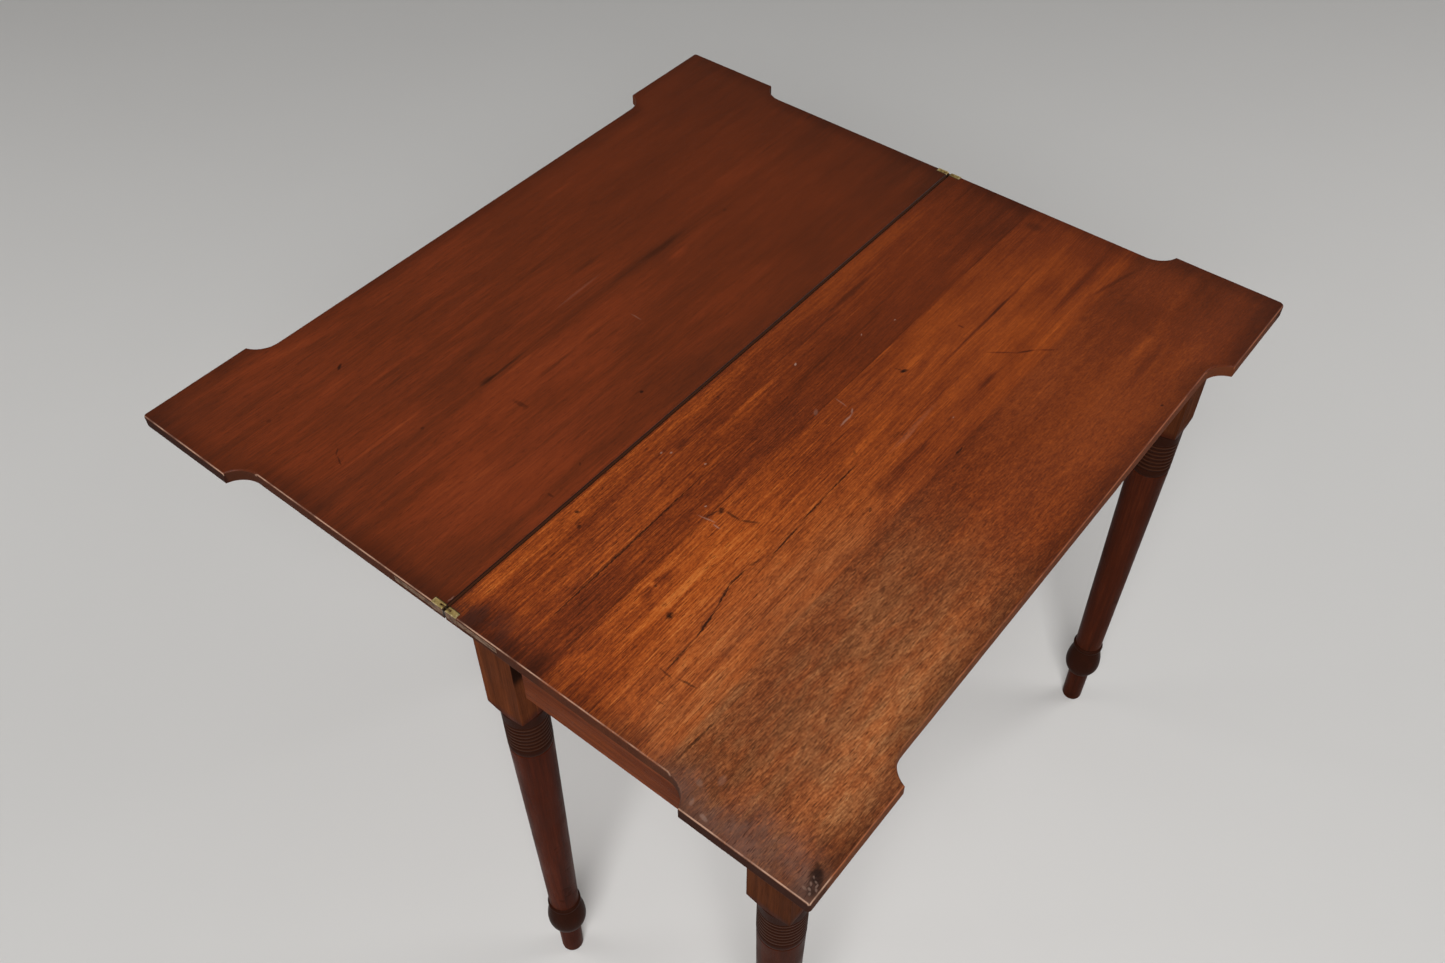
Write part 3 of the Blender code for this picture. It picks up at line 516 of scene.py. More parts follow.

# How the tone of the leaves drifts along and across them: millimetres, and percent lighter or darker. Along
# the leaves it is partly painted light, lighter towards the left ends and darker at the right ends as the
# light falls.
FIXED_ALONG = (
    (-421.5, -2), (-385, 3.5), (-300, 7), (-185, 6), (-60, 0), (60, -1.5), (180, 1), (290, -1.5),
    (380, -7.5), (421.5, -10),
)
FIXED_ACROSS = (
    (-421.5, -7), (-394, -2.1), (-373, 0.5), (-315, -1.1), (-288, -2.1), (-257, -2.5), (-255, 5),
    (-242, 9.5), (-232, 3), (-225, 3), (-216, 5.5), (-179, 7.1), (-159, 3), (-126, 4.2), (-118, 3),
    (-115.5, -6), (-90, -7.5), (-72, -4.6), (-54, -3), (-38, -5.3), (-25, -3.5), (-12, 1.5), (0, -1),
)
FLIP_ALONG = (
    (-421.5, -4), (-385, 0.5), (-300, 7.5), (-185, 5.6), (-60, 3.5), (60, 1.4), (180, -0.3), (290, -0.9),
    (380, -5), (421.5, -7.5),
)
FLIP_ACROSS = (
    (0, -4), (12, -2.5), (30, 0), (73, -1), (100, 1.2), (150, 2.5), (170, 1), (182, -1), (194, 3.5),
    (207, 0), (330, 1), (380, 1.2), (421.5, -1),
)

# Figure and wear of the leaves, as soft ellipses: the percent that lightens or darkens a streak, or
# that a mark or scuff covers, then x, y, length and width in millimetres, and any turn in degrees
FIXED_STREAKS = (
    (-3.5, 0, -74, 300, 36), (-4, -190, -106, 140, 20), (5.5, 290, -106, 140, 22), (6, 180, -132, 150, 30),
    (-5.5, -310, -141, 200, 18), (3.5, 60, -159, 130, 20), (5, -255, -210, 340, 62),
    (6, -385, -221, 60, 30), (3, -375, -80, 60, 60), (-8, -25, -228, 117, 20), (-15, -418, -30, 76, 34),
    (-9, -396, -46, 50, 18), (-12, -418, -70, 30, 60), (-12, -416, -108, 56, 30), (-7, -425, -365, 36, 110),
    (-12, -436, -412, 50, 30), (-4.5, 290, -205, 120, 50), (-4.5, 390, -205, 90, 80),
    (-6, 390, -15, 90, 30), (5, 390, -103, 80, 30), (-5, -330, -286, 340, 80), (3, -60, -330, 140, 60),
    (7, 385, -295, 110, 120), (-8, -400, -396, 70, 30), (-16, 163, -35, 110, 11), (-10, 100, -42, 140, 5),
    (-8, 40, -75, 200, 5), (-8, -330, -94, 160, 14), (-14, -30, -155, 60, 3), (-16, 215, -177.5, 250, 5),
    (-12, 240, -177.5, 60, 5), (-12, 50, -200, 200, 3), (-14, 133, -228, 50, 7), (-8, 10, -227, 120, 9),
    (-10, 330, -228, 180, 13), (-14, 181, -217, 44, 3.6, -53), (-22, 199, -237, 28, 4, -38),
    (-12, 215, -253, 30, 3.6, -50), (-10, 360, -257, 130, 7, -15), (-6, 265, -345, 120, 14),
    (-10, -134, -36, 26, 13), (-12, -161, -72, 13, 9), (-10, -335, -78, 26, 13),
    (-13, -297, -131, 28, 15, 8), (-13, -276, -131, 28, 15, -8), (12, -286, -129, 12, 4),
    (-16, 190, -161, 11, 4, 90), (-10, 394, -135, 34, 22, 90), (8, -30, -52, 100, 7),
    (10, 105, -119, 60, 3.6), (8, 112, -153, 44, 13), (6, 135, -166, 80, 12), (8, -20, -179, 120, 13),
    (8, 160, -280, 70, 4), (6, 280, -330, 80, 12),
)
FIXED_MARKS = (
    (95, -178, -122, 13, 8, 20), (70, -186, -118, 20, 3, -18), (70, -176.5, -135, 24, 3.8, 88),
    (60, -172, -152, 24, 3.4, -62), (60, -286, -132, 4, 4), (95, -302.8, -163.4, 11, 8),
    (85, -260, -81, 330, 3, 0.6), (40, -300, -80, 120, 3, -0.5), (75, -330, -197.8, 52, 3, 2),
    (90, -290, -194.5, 46, 3.2, 9), (90, -255, -186.8, 36, 3, 14), (80, -232, -183.8, 34, 3.4, -4),
    (60, -208, -186.2, 22, 2.6, -10), (85, -168, -192.5, 56, 3, 3), (85, -120.5, -189.8, 60, 3, 0.6),
    (80, -74, -189, 66, 3), (50, -352.5, -201, 22, 2.8, 82), (68, -349, -221.5, 26, 3.4, 97),
    (35, -378, -216, 16, 2.2, 95), (80, -265, -15, 6, 6), (75, -277.5, -29.5, 7, 6),
    (80, -89, -233, 8, 4, 20), (95, 92.7, -151.7, 13, 6, -25), (50, 91, -146, 13, 2.4, 100),
    (90, 30, -258.3, 17, 3.4), (50, 10, -197, 16, 4), (70, 214, -387, 5, 4), (50, -36, -178, 8, 4, 60),
    (75, -388, -263, 70, 3.2, -2.5), (85, -422.5, -411.5, 24, 16, 25), (60, -431, -415, 24, 15, 10),
    (70, -415, -408, 12, 8, 60),
)
FIXED_SCUFFS_AND_GLINTS = (
    (26, -194.5, -118, 26, 2.2, 100), (30, -196, -131, 12, 2.4, 88), (34, -3.5, -145.7, 30, 3, 2),
    (28, 10, -143, 10, 2.8, 30), (14, -15, -115, 12, 6, 30), (20, 13, -127, 20, 2.2, 80),
    (60, 30, -56, 6, 3, 30), (50, 154, -99, 3, 2), (40, 112, -84, 5, 1.6, 20), (40, 66, -229, 4, 1.6),
    (4.5, 30, -205, 110, 7, 1), (8, 18, -207.5, 36, 4, 2), (45, -156, -28, 4, 2.2), (45, -150, -36, 4, 2.2),
    # The pale flecks clustered at the near-left corner, about x -424 to -438 and y -409 to -418, are
    # painted glints of light on the gloss.
    (50, -140, -72, 4, 2.2), (50, -183, -107, 4, 2.4), (24, -434.5, -413, 5, 3, 60),
    (26, -429, -416.5, 6, 2.6, 10), (24, -432, -418, 4, 2.6, 35), (22, -437.5, -415.5, 4, 3, 20),
    (22, -426.5, -414, 4, 2.2, 75), (20, -430, -411.5, 5, 2.4, 30), (18, -424.5, -410.5, 4, 2.2, 50),
    (16, -436, -409.5, 6, 3, 80), (22, -438, -312, 12, 5, 80), (16, -433, -296, 9, 5, 20),
    (12, -416, -290, 10, 7, 60), (10, -403, -303, 14, 8, 10),
)
FLIP_STREAKS = (
    (-20, -190, 182, 32, 10), (-16, -165, 181, 80, 5, 1), (-12, -125, 143, 75, 6), (-8, -60, 144, 100, 8),
    (-10, 96, 183, 95, 12), (-6, 50, 186, 170, 18), (-9, 15, 230, 66, 10), (-8, -248, 257, 50, 6, 4),
    (-6, 107, 303, 24, 10), (-10, 194, 170, 9, 6), (-6, 328, 207, 70, 6), (-10, 420, 208, 45, 5),
    (6, -265, 376, 220, 18, -11), (10, -315, 203, 170, 6), (6, -150, 173, 90, 8, 3), (10, 97, 160, 44, 16),
    (4, 140, 168, 120, 34),
)
FLIP_MARKS = (
    (80, -272, 319, 14, 5, 30), (40, -370, 313, 7, 6), (55, -362, 214, 18, 2.6, 65),
    (50, -355, 225.5, 16, 2.4, 38), (40, -193, 130, 26, 8, 95), (45, -280, 183, 6, 5), (80, -102, 44, 6, 5),
    (55, -265, 19, 10, 4, 90), (40, -217, 25, 7, 3, 45),
)
FLIP_SCUFFS = (
    (16, -17, 126, 20, 2, 88), (6, -25, 205, 90, 4, 2), (22, -412, 3.5, 10, 2),
)


def rim_distance(f):
    """Distance inwards from the leaf's three free edges, with the outset corners followed."""
    far_x, far_y = f.size(f.x), f.size(f.y)
    inner = f.least(f.less(LEAF_END, far_x), f.less(LONG_EDGE, far_y))
    outer = f.least(f.less(HALF_WIDTH, far_x), f.less(LEAF_DEPTH, far_y))
    start_x, start_y = HALF_WIDTH - OUTSET_LENGTH, LEAF_DEPTH - OUTSET_LENGTH
    corner = f.times(f.ramp(far_x, start_x - COVE_RADIUS, start_x),
                     f.ramp(far_y, start_y - COVE_RADIUS, start_y))
    return f.total(inner, f.times(f.less(outer, inner), corner))


def leaf_finish(f, wood, flow, relief, marks, scuffs, sheen, pore_depth, dry):
    """What both leaves share: pores, dark edges with a painted shadow, pale edges partly rubbed and partly
    a painted highlight, marks, a dry underside, and relief.
    """
    on_top = f.ramp(f.z, TOP - ARRIS_RADIUS, TOP - ARRIS_RADIUS / 3)
    below = f.ramp(f.z, UNDERSIDE + ARRIS_RADIUS, UNDERSIDE + ARRIS_RADIUS / 3)
    pores = f.ramp(f.grain(0, 1000, 90, flow, 2), 0.55, 0.66)
    wood = f.mix(f.times(pores, pore_depth), wood, EDGE_SHADE)
    rim = rim_distance(f)
    uneven = f.ramp(f.noise((9, 9, 9), 3), 0.3, 0.62, 0.4, 1)
    shadow = f.times(f.ramp(rim, 0, 30 * MM, 0.5, 0), uneven)
    # Darker along the joint, with a near-black line of painted shade in the groove between the two leaves'
    # rounded edges.
    from_joint = f.size(f.y)
    joint = f.most(f.ramp(from_joint, JOINT_EDGE + MM, JOINT_EDGE + 4 * MM, 0.25, 0),
                   f.ramp(from_joint, JOINT_EDGE + 0.7 * MM, JOINT_EDGE + 1.3 * MM, 0.98, 0))
    wood = f.mix(f.times(on_top, shadow), wood, EDGE_SHADE)
    wood = f.mix(joint, wood, DARK_MARK)
    upright = f.less(1, f.most(on_top, below))
    out = f.size(f.x)
    end_face = f.ramp(out, LEAF_END - 4 * MM, LEAF_END - MM, 0, 0.45)
    outset_face = f.ramp(out, HALF_WIDTH - 4 * MM, HALF_WIDTH - MM, 0, 0.25)
    wood = f.mix(f.times(upright, 0.55), wood, EDGE_GRAIN)
    wood = f.mix(f.times(upright, f.total(0.25, end_face, outset_face)), wood, EDGE_SHADE)
    # A pale line along the rounded top edges: rubbed finish, with a painted highlight that is paler and
    # stronger at the left ends and the front edge.
    patchy = f.ramp(f.noise((30, 30, 30), 3), 0.36, 0.62, 0.2, 1)
    arris = f.times(f.ramp(rim, 0.2 * MM, 0.6 * MM), f.ramp(rim, MM, 1.5 * MM, 1, 0), patchy,
                    f.ramp(f.z, TOP - 2 * ARRIS_RADIUS, TOP - ARRIS_RADIUS))
    at_end = f.ramp(f.x, -LEAF_END + 12 * MM, -LEAF_END + 4 * MM)
    in_front = f.ramp(f.y, -LONG_EDGE + 12 * MM, -LONG_EDGE + 4 * MM)
    rubbed = f.mix(at_end, f.mix(in_front, RUBBED, WORN_AND_LIT_FRONT), WORN_AND_LIT_END)
    seen = f.ramp(f.most(at_end, in_front), 0, 1, 0.35, 0.72)
    wood = f.mix(f.times(arris, seen), wood, rubbed)
    wood = f.mix(f.times(below, dry), wood, DRY_UNDERSIDE)
    ragged = f.moved((0.003, 0.0026, 0), (110, 110, 110), 3)
    broken = f.ramp(f.noise((160, 160, 160), 3), 0.3, 0.56, 0.62, 1)
    dark = f.times(f.spots(marks, ragged), broken, on_top)
    pale = f.times(f.spots(scuffs, ragged), on_top)
    wood = f.mix(dark, wood, DARK_MARK)
    wood = f.mix(pale, wood, PALE_MARK)
    rough = f.total(f.ramp(f.noise((7, 22, 22), 4), 0.32, 0.68, *sheen), f.times(pale, 0.2),
                    f.times(upright, 0.45), f.times(below, 0.4 * dry), f.times(dark, 0.12))
    f.bump(f.noise((4, 8, 8), 2), 0.6 * MM, 0.3)
    f.bump(relief, 0.12 * MM, 0.35)
    f.bump(f.less(1, pores), 0.1 * MM, 0.5)
    f.bump(f.less(1, dark), 0.4 * MM, 0.6)
    return f.done(wood, rough)


def fixed_leaf_finish():
    """Faded, streaked mahogany in three boards, with dents, cracks and scuffs; its greyer front and
    near-left corner are partly a painted sheen, with painted glints at that corner.
    """
    f = Finish("fixed_leaf_mahogany", specular=LEAF_SPECULAR)
    flow = f.moved((0, 0.01, 0), (1.1, 3, 3))
    across = f.total(f.y, f.times(f.less(f.noise((2.4, 7, 7), 2), 0.5), 0.006))
    wavy = f.moved((0, 0.003, 0), (14, 14, 14), 3)
    front = f.ramp(across, FRONT_SEAM_Y + 3 * MM, FRONT_SEAM_Y - 3 * MM)
    middle = f.grain(0, 110, 4, flow)
    broad = f.mixed((f.grain(0, 30, 1.7, flow, 5), 0.2), (middle, 0.16),
                    (f.noise((5, 14, 14), 3), 0.2), (f.noise((48, 70, 70), 4, 0.65), 0.12))
    lines = f.mixed((f.grain(0, 70, 6, flow, 3), 0.12), (f.grain(0, 300, 9, flow, 3), 0.22),
                    (f.grain(0, 800, 28, flow, 3), 0.36), (f.noise((260, 420, 420), 2), 0.16))
    curls = f.mixed((f.grain(0, 160, 34, flow, 3, turn=-6), 0.12),
                    (f.grain(0, 620, 100, flow, 3, turn=-5), 0.36), (f.noise((380, 480, 480), 2), 0.2))
    fine = f.total(f.times(lines, f.less(1, front)), f.times(curls, front))
    left = f.ramp(f.x, 0.32, -0.3)
    calm = f.ramp(front, 0, 1, 1, 0.8)
    figure = f.mixed((broad, f.times(calm, f.ramp(left, 0, 1, 0.85, 1.15))),
                     (fine, f.ramp(left, 0, 1, 0.6, 1.6)))
    drift = f.total(f.profile(f.x, FIXED_ALONG), f.profile(across, FIXED_ACROSS))
    tone = f.total(figure, drift, f.streaks(FIXED_STREAKS, wavy))
    red, tawny = [f.shades(tone, *zip((0.07, 0.32, 0.45, 0.56, 0.66, 0.82), codes)) for codes in (
        ("2f1206", "512310", "6a2d13", "863d17", "a34f1d", "be6c30"),
        ("30190e", "522f1b", "6a3e23", "845130", "9c663e", "b38157"))]
    # Browner, greyer wood on the front board towards the left: partly faded, partly a painted sheen.
    forward = f.total(f.ramp(f.y, -0.15, -0.27, 0, 0.55), f.times(front, 0.4))
    fading_and_sheen = f.times(f.ramp(f.x, 0.04, -0.2), forward,
                    f.ramp(f.grain(0, 60, 18, flow, 5, 0.68), 0.38, 0.62, 0.58, 1))
    wood = f.mix(f.most(fading_and_sheen, f.times(front, 0.08)), red, tawny)
    # Grey at the near-left corner: partly dust, partly a painted sheen of light on the finish.
    dust_and_sheen = f.times(f.ramp(f.x, -0.385, -0.435), f.ramp(f.y, -0.2, -0.31),
                   f.ramp(f.noise((22, 22, 22), 4), 0.36, 0.66, 0.05, 0.45))
    wood = f.mix(dust_and_sheen, wood, DUST_AND_SHEEN_GREY)
    for seam_y, depth in ((FRONT_SEAM_Y, 0.3), (REAR_SEAM_Y, 0.45)):
        seam = f.ramp(f.size(f.less(f.y, seam_y)), 0, 1.1 * MM, depth, 0)
        gaps = f.ramp(f.noise((12, 3, 3), 2), 0.4, 0.6, 0.1, 1)
        wood = f.mix(f.times(seam, gaps), wood, DARK_MARK)
    stain = f.times(f.ramp(f.y, -0.125, -0.03), f.ramp(f.x, -0.375, -0.415),
                    f.ramp(f.noise((45, 60, 60), 4, 0.65), 0.4, 0.58, 0.15, 0.75))
    wood = f.mix(stain, wood, END_STAIN)
    pore_depth = f.ramp(left, 0, 1, 0.2, 0.6)
    return leaf_finish(f, wood, flow, middle, FIXED_MARKS, FIXED_SCUFFS_AND_GLINTS, (0.38, 0.54), pore_depth, 0.6)


def flip_leaf_finish():
    """Dark, even mahogany that light has not reached."""
    f = Finish("flip_leaf_mahogany", specular=LEAF_SPECULAR)
    flow = f.moved((0, 0.01, 0), (1.3, 3, 3))
    wavy = f.moved((0, 0.002, 0), (14, 14, 14), 3)
    middle = f.grain(0, 110, 8, flow)
    figure = f.mixed((f.grain(0, 24, 1.6, flow, 5), 0.18), (middle, 0.14),
                     (f.grain(0, 70, 9, flow, 3), 0.1), (f.grain(0, 600, 26, flow, 3), 0.2),
                     (f.noise((6, 16, 16), 3), 0.2))
    left = f.ramp(f.x, 0.3, -0.3)
    figure = f.mixed((figure, f.ramp(left, 0, 1, 0.8, 1.45)))
    drift = f.total(f.profile(f.x, FLIP_ALONG), f.profile(f.y, FLIP_ACROSS))
    tone = f.total(figure, drift, f.streaks(FLIP_STREAKS, wavy))
    wood = f.shades(tone, (0.1, "2d1308"), (0.27, "3e1c0d"), (0.38, "4c2312"), (0.52, "632b14"),
                    (0.61, "733117"), (0.75, "883e1d"))
    pore_depth = f.ramp(left, 0, 1, 0.15, 0.35)
    return leaf_finish(f, wood, flow, middle, FLIP_MARKS, FLIP_SCUFFS, (0.36, 0.48), pore_depth, 0.1)


def leg_finish():
    """Dark red mahogany legs, lighter in the stile, with the turnings and the foot's bulb ebonised, and
    painted shade on some legs and in the slot beside the rail.
    """
    f = Finish("leg_mahogany", specular=SHOW_WOOD_SPECULAR)
    flow = f.moved((0.004, 0.004, 0), (3, 3, 5))
    middle = f.grain(2, 260, 9, flow)
    tone = f.mixed((f.grain(2, 60, 2.2, flow), 0.55), (middle, 0.38), (f.grain(2, 1100, 40, flow, 2), 0.24))
    turned_wood = f.shades(tone, (0.34, "2e120a"), (0.54, "461c0e"), (0.76, "642c17"))
    stile_wood = f.shades(tone, (0.34, "412112"), (0.54, "60321b"), (0.76, "7e4728"))
    on_stile = f.ramp(f.z, SHOULDER_HEIGHT - 4 * MM, SHOULDER_HEIGHT + 10 * MM)
    wood = f.mix(on_stile, turned_wood, stile_wood)
    pores = f.ramp(f.grain(2, 1500, 90, flow, 2), 0.57, 0.68)
    wood = f.mix(f.times(pores, 0.45), wood, EDGE_SHADE)
    # Painted shade: the legs near the front-left corner and the legs at the right end are darkened, as the
    # light reaches them less.
    near = f.times(f.ramp(f.x, -0.2, -0.3), f.ramp(f.y, -0.2, -0.3))
    far = f.ramp(f.x, 0.2, 0.3)
    wood = f.mix(f.total(f.times(near, 0.42), f.times(far, 0.25)), wood, "26160d")
    edge = EDGE_DROP / 2
    rings = f.times(f.ramp(f.z, BEAD_BOTTOM - edge, BEAD_BOTTOM), f.ramp(f.z, QUIRK_TOP + edge, QUIRK_TOP))
    foot = f.times(f.ramp(f.z, PEG_TOP_HEIGHT, PEG_TOP_HEIGHT + edge),
                   f.ramp(f.z, COLLAR_TOP + edge, COLLAR_TOP))
    rubbed = f.ramp(f.noise((90, 90, 60), 4), 0.55, 0.75, 1, 0.7)
    wood = f.mix(f.times(f.total(rings, foot), rubbed), wood, "2c150d")
    # Lighter ring crests: partly rubbed ebonising, partly a painted highlight.
    from_valley = f.math("PINGPONG", f.less(f.z, RINGS_BOTTOM), RING_PITCH / 2)
    crest = f.times(f.ramp(from_valley, RING_PITCH * 0.3, RING_PITCH * 0.48),
                    f.ramp(f.z, RINGS_BOTTOM, BEAD_TOP, 1, 0),
                    f.ramp(f.z, RINGS_TOP, RINGS_TOP + edge, 1, 0), 0.4)
    wood = f.mix(crest, wood, "5e3a26")
    knocks = f.ramp(f.noise((38, 38, 30), 3), 0.64, 0.72)
    # Painted shade in the slot beside the end rail, fading out below the rail's bottom.
    slot_shade = f.times(slot_painted_shade(f), f.ramp(f.z, RAIL_BOTTOM + 6 * MM, RAIL_BOTTOM + 22 * MM))
    wood = f.mix(f.most(f.times(knocks, 0.35), slot_shade), wood, DARK_MARK)
    rough = f.total(f.ramp(f.noise((30, 30, 18), 3), 0.32, 0.68, 0.3, 0.46), f.times(knocks, 0.1),
                    f.times(on_stile, 0.35))
    f.bump(middle, 0.14 * MM, 0.35)
    f.bump(f.less(1, pores), PORE_RELIEF, 0.5)
    f.bump(f.less(1, knocks), 0.3 * MM, 0.4)
    return f.done(wood, rough)


def slot_painted_shade(f):
    """Painted shade on both faces of the narrow slot between an end rail and its fly leg, darker at the
    left end.
    """
    rail_face, leg_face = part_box("left_end_rail")[1].y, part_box("left_fly_leg")[0].y
    middle, half = (rail_face + leg_face) / 2, (leg_face - rail_face) / 2
    strength = f.ramp(f.x, -0.1, 0.1, 0.92, 0.35)
    return f.ramp(f.size(f.less(f.y, middle)), half + 0.2 * MM, half + MM, strength, 0)


def rail_finish():
    """Mahogany show rails, grained along each rail, darker towards the top, with painted shade in the slot
    beside each fly leg.
    """
    f = Finish("rail_mahogany", specular=SHOW_WOOD_SPECULAR)
    flow = f.moved((0, 0, 0.006), (2, 2, 4))
    middle = f.noise((12, 12, 190), 4, 0.6, 0.2, flow)
    tone = f.mixed((f.noise((3, 3, 34), 4, 0.6, 0.5, flow), 0.55), (middle, 0.38),
                   (f.noise((50, 50, 900), 2, 0.6, 0, flow), 0.24))
    wood = f.shades(tone, (0.34, "4a200f"), (0.54, "6e3417"), (0.76, "8e4c26"))
    pores = f.ramp(f.noise((110, 110, 1500), 2, 0.5, 0.3, flow), 0.57, 0.68)
    wood = f.mix(f.times(pores, 0.45), wood, EDGE_SHADE)
    # Darker towards the top of the rails, just under the leaves; and painted shade in the slot beside each
    # fly leg.
    darkening = f.times(f.ramp(f.z, FRAME_TOP - 12 * MM, FRAME_TOP, 0, 0.6),
                   f.ramp(f.noise((14, 14, 14), 3), 0.3, 0.6))
    wood = f.mix(f.most(darkening, slot_painted_shade(f)), wood, DARK_MARK)
    f.bump(middle, 0.14 * MM, 0.35)
    f.bump(f.less(1, pores), PORE_RELIEF, 0.5)
    return f.done(wood, f.ramp(f.noise((10, 10, 24), 3), 0.32, 0.68, 0.34, 0.5))


def bare_wood(name, axis, dark, mid, light):
    """Unpolished secondary wood, grained along one axis, grey with age and handling."""
    f = Finish(name + "_along_" + axis, specular=0.1)
    scale = [5 if letter == axis else 150 for letter in "xyz"]
    flow = f.moved((0.004, 0.004, 0.004), (3, 3, 3))
    rings = f.noise(scale, 4, 0.6, 0.6, flow)
    fibre = f.noise([part * 7 for part in scale], 3, 0.6, 0, flow)
    tone = f.total(f.times(rings, 0.75), f.times(fibre, 0.35))
    wood = f.shades(tone, (0.36, dark), (0.54, mid), (0.74, light))
    wood = f.mix(f.ramp(f.noise((7, 7, 7), 4, 0.6), 0.48, 0.72, 0, 0.55), wood, "4a2f1b")
    f.bump(fibre, 0.3 * MM, 0.45)
    f.bump(f.noise((60, 60, 420), 2), 0.3 * MM, 0.25)
    return f.done(wood, f.ramp(fibre, 0.3, 0.7, 0.62, 0.82))


def brass_finish():
    """Old brass: yellow-olive heads with paler edges that are partly rubbed and partly a painted highlight,
    painted shade in the gaps round the heads, and strips browned with tarnish.
    """
    f = Finish("aged_brass", metallic=0.6)
    tarnish = f.noise((150, 150, 150), 4, 0.6)
    fine = f.noise((900, 900, 900), 3, 0.6)
    metal = f.shades(tarnish, (0.36, "ccb072"), (0.52, "ae9458"), (0.68, "72603a"))
    strip = f.shades(tarnish, (0.36, "7e5834"), (0.52, "664428"), (0.68, "402818"))
    along, out = f.size(f.y), f.size(f.x)
    on_top = f.ramp(f.z, TOP - MM, TOP - 0.3 * MM)
    tarnished = f.most(f.ramp(along, HEAD_LENGTH - MM, HEAD_LENGTH + MM), f.less(1, on_top))
    metal = f.mix(tarnished, metal, strip)
    # Paler edges on the heads' tops: partly rubbed brass, partly a painted highlight.
    rubbed = f.most(f.ramp(out, LEAF_END - 1.4 * MM, LEAF_END - 0.4 * MM),
                    f.ramp(along, HEAD_LENGTH - 3 * MM, HEAD_LENGTH - 1.2 * MM))
    metal = f.mix(f.times(rubbed, on_top, f.ramp(tarnish, 0.4, 0.6, 0.8, 0.2)), metal, "ecd8a0")
    # Painted shade in the gap between the two heads and along each head's inner side.
    head_inside = LEAF_END - HEAD_WIDTH
    darkening = f.most(f.ramp(along, 1.2 * MM, 2.4 * MM, 0.9, 0),
                  f.ramp(out, head_inside + 0.3 * MM, head_inside + 1.2 * MM, 0.8, 0))
    metal = f.mix(darkening, metal, "241a0e")
    metal = f.mix(f.ramp(fine, 0.5, 0.75, 0, 0.5), metal, "3a2c1a")
    f.bump(fine, 0.08 * MM, 0.4)
    f.bump(f.noise((2600, 120, 500), 2), 0.04 * MM, 0.4)
    return f.done(metal, f.ramp(tarnish, 0.3, 0.7, 0.34, 0.6))


def iron_finish():
    """Dark iron with a little rust."""
    f = Finish("old_iron", metallic=1)
    rust = f.noise((320, 320, 320), 4, 0.65)
    metal = f.shades(rust, (0.4, "4b4641"), (0.56, "3b302a"), (0.7, "5c3420"))
    f.bump(f.noise((1600, 1600, 1600), 3, 0.6), 0.1 * MM, 0.5)
    return f.done(metal, f.ramp(rust, 0.3, 0.7, 0.45, 0.75))


# Leaves

def leaf_outline(right_radius):
    """Plan of a leaf: straight joint edge, outset far corners, and coves back to the sides."""
    steep = math.acos(1 - OUTSET_STEP / COVE_RADIUS)
    reach = COVE_RADIUS * math.sin(steep)
    turn = math.degrees(steep)
    end_cove = arc((LEAF_END + COVE_RADIUS, LEAF_DEPTH - OUTSET_LENGTH - reach), COVE_RADIUS,
                   180, 180 - turn, COVE_STEPS)
    edge_cove = arc((HALF_WIDTH - OUTSET_LENGTH - reach, LONG_EDGE + COVE_RADIUS), COVE_RADIUS,
                    turn - 90, -90, COVE_STEPS)
    right, left = [
        [(LEAF_END, JOINT_EDGE)] + end_cove
        + arc((HALF_WIDTH - radius, LEAF_DEPTH - radius), radius, 0, 90, CORNER_STEPS) + edge_cove
        for radius in (right_radius, OUTSET_CORNER_RADIUS)
    ]
    corners = right + mirrored(left)
    points = []
    for start, stop in zip(corners, corners[1:] + corners[:1]):
        steps = max(1, round(math.dist(start, stop) / EDGE_RUN))
        points += [Vector(start).lerp(Vector(stop), step / steps) for step in range(steps)]
    return points


def wander(point, seed):
    """A little unevenness, only ever inwards, as a worn edge has."""
    x, y, z = point
    dip = abs(noise.noise(point * Vector(WANDER_GRAINS) + Vector((0, 0, seed)))) * EDGE_WANDER
    return Vector((x - math.copysign(dip, x), y - math.copysign(dip, y), z))


def hinge_recesses(name, side, end):
    """What is cut out of a leaf's end for one hinge arm."""
    inner, outer = side * (STRIP_FACE - STRIP_THICKNESS - FIT), side * (LEAF_END + OVERRUN)
    yield brick(name + "_head", (side * (LEAF_END - HEAD_WIDTH - FIT), -end * OVERRUN, HEAD_BOTTOM - FIT),
                (outer, end * (HEAD_LENGTH + FIT), TOP + OVERRUN))
    yield brick(name + "_strip", (inner, end * (HEAD_LENGTH - OVERRUN), STRIP_BOTTOM - FIT),
                (outer, end * (HEAD_LENGTH + STRIP_LENGTH + FIT), STRIP_TOP + FIT))
    for place in screw_places(side, end):
        yield aim(turned(name + "_screw", screw_profile(FIT, OVERRUN), 24), place, (-side, 0, 0))


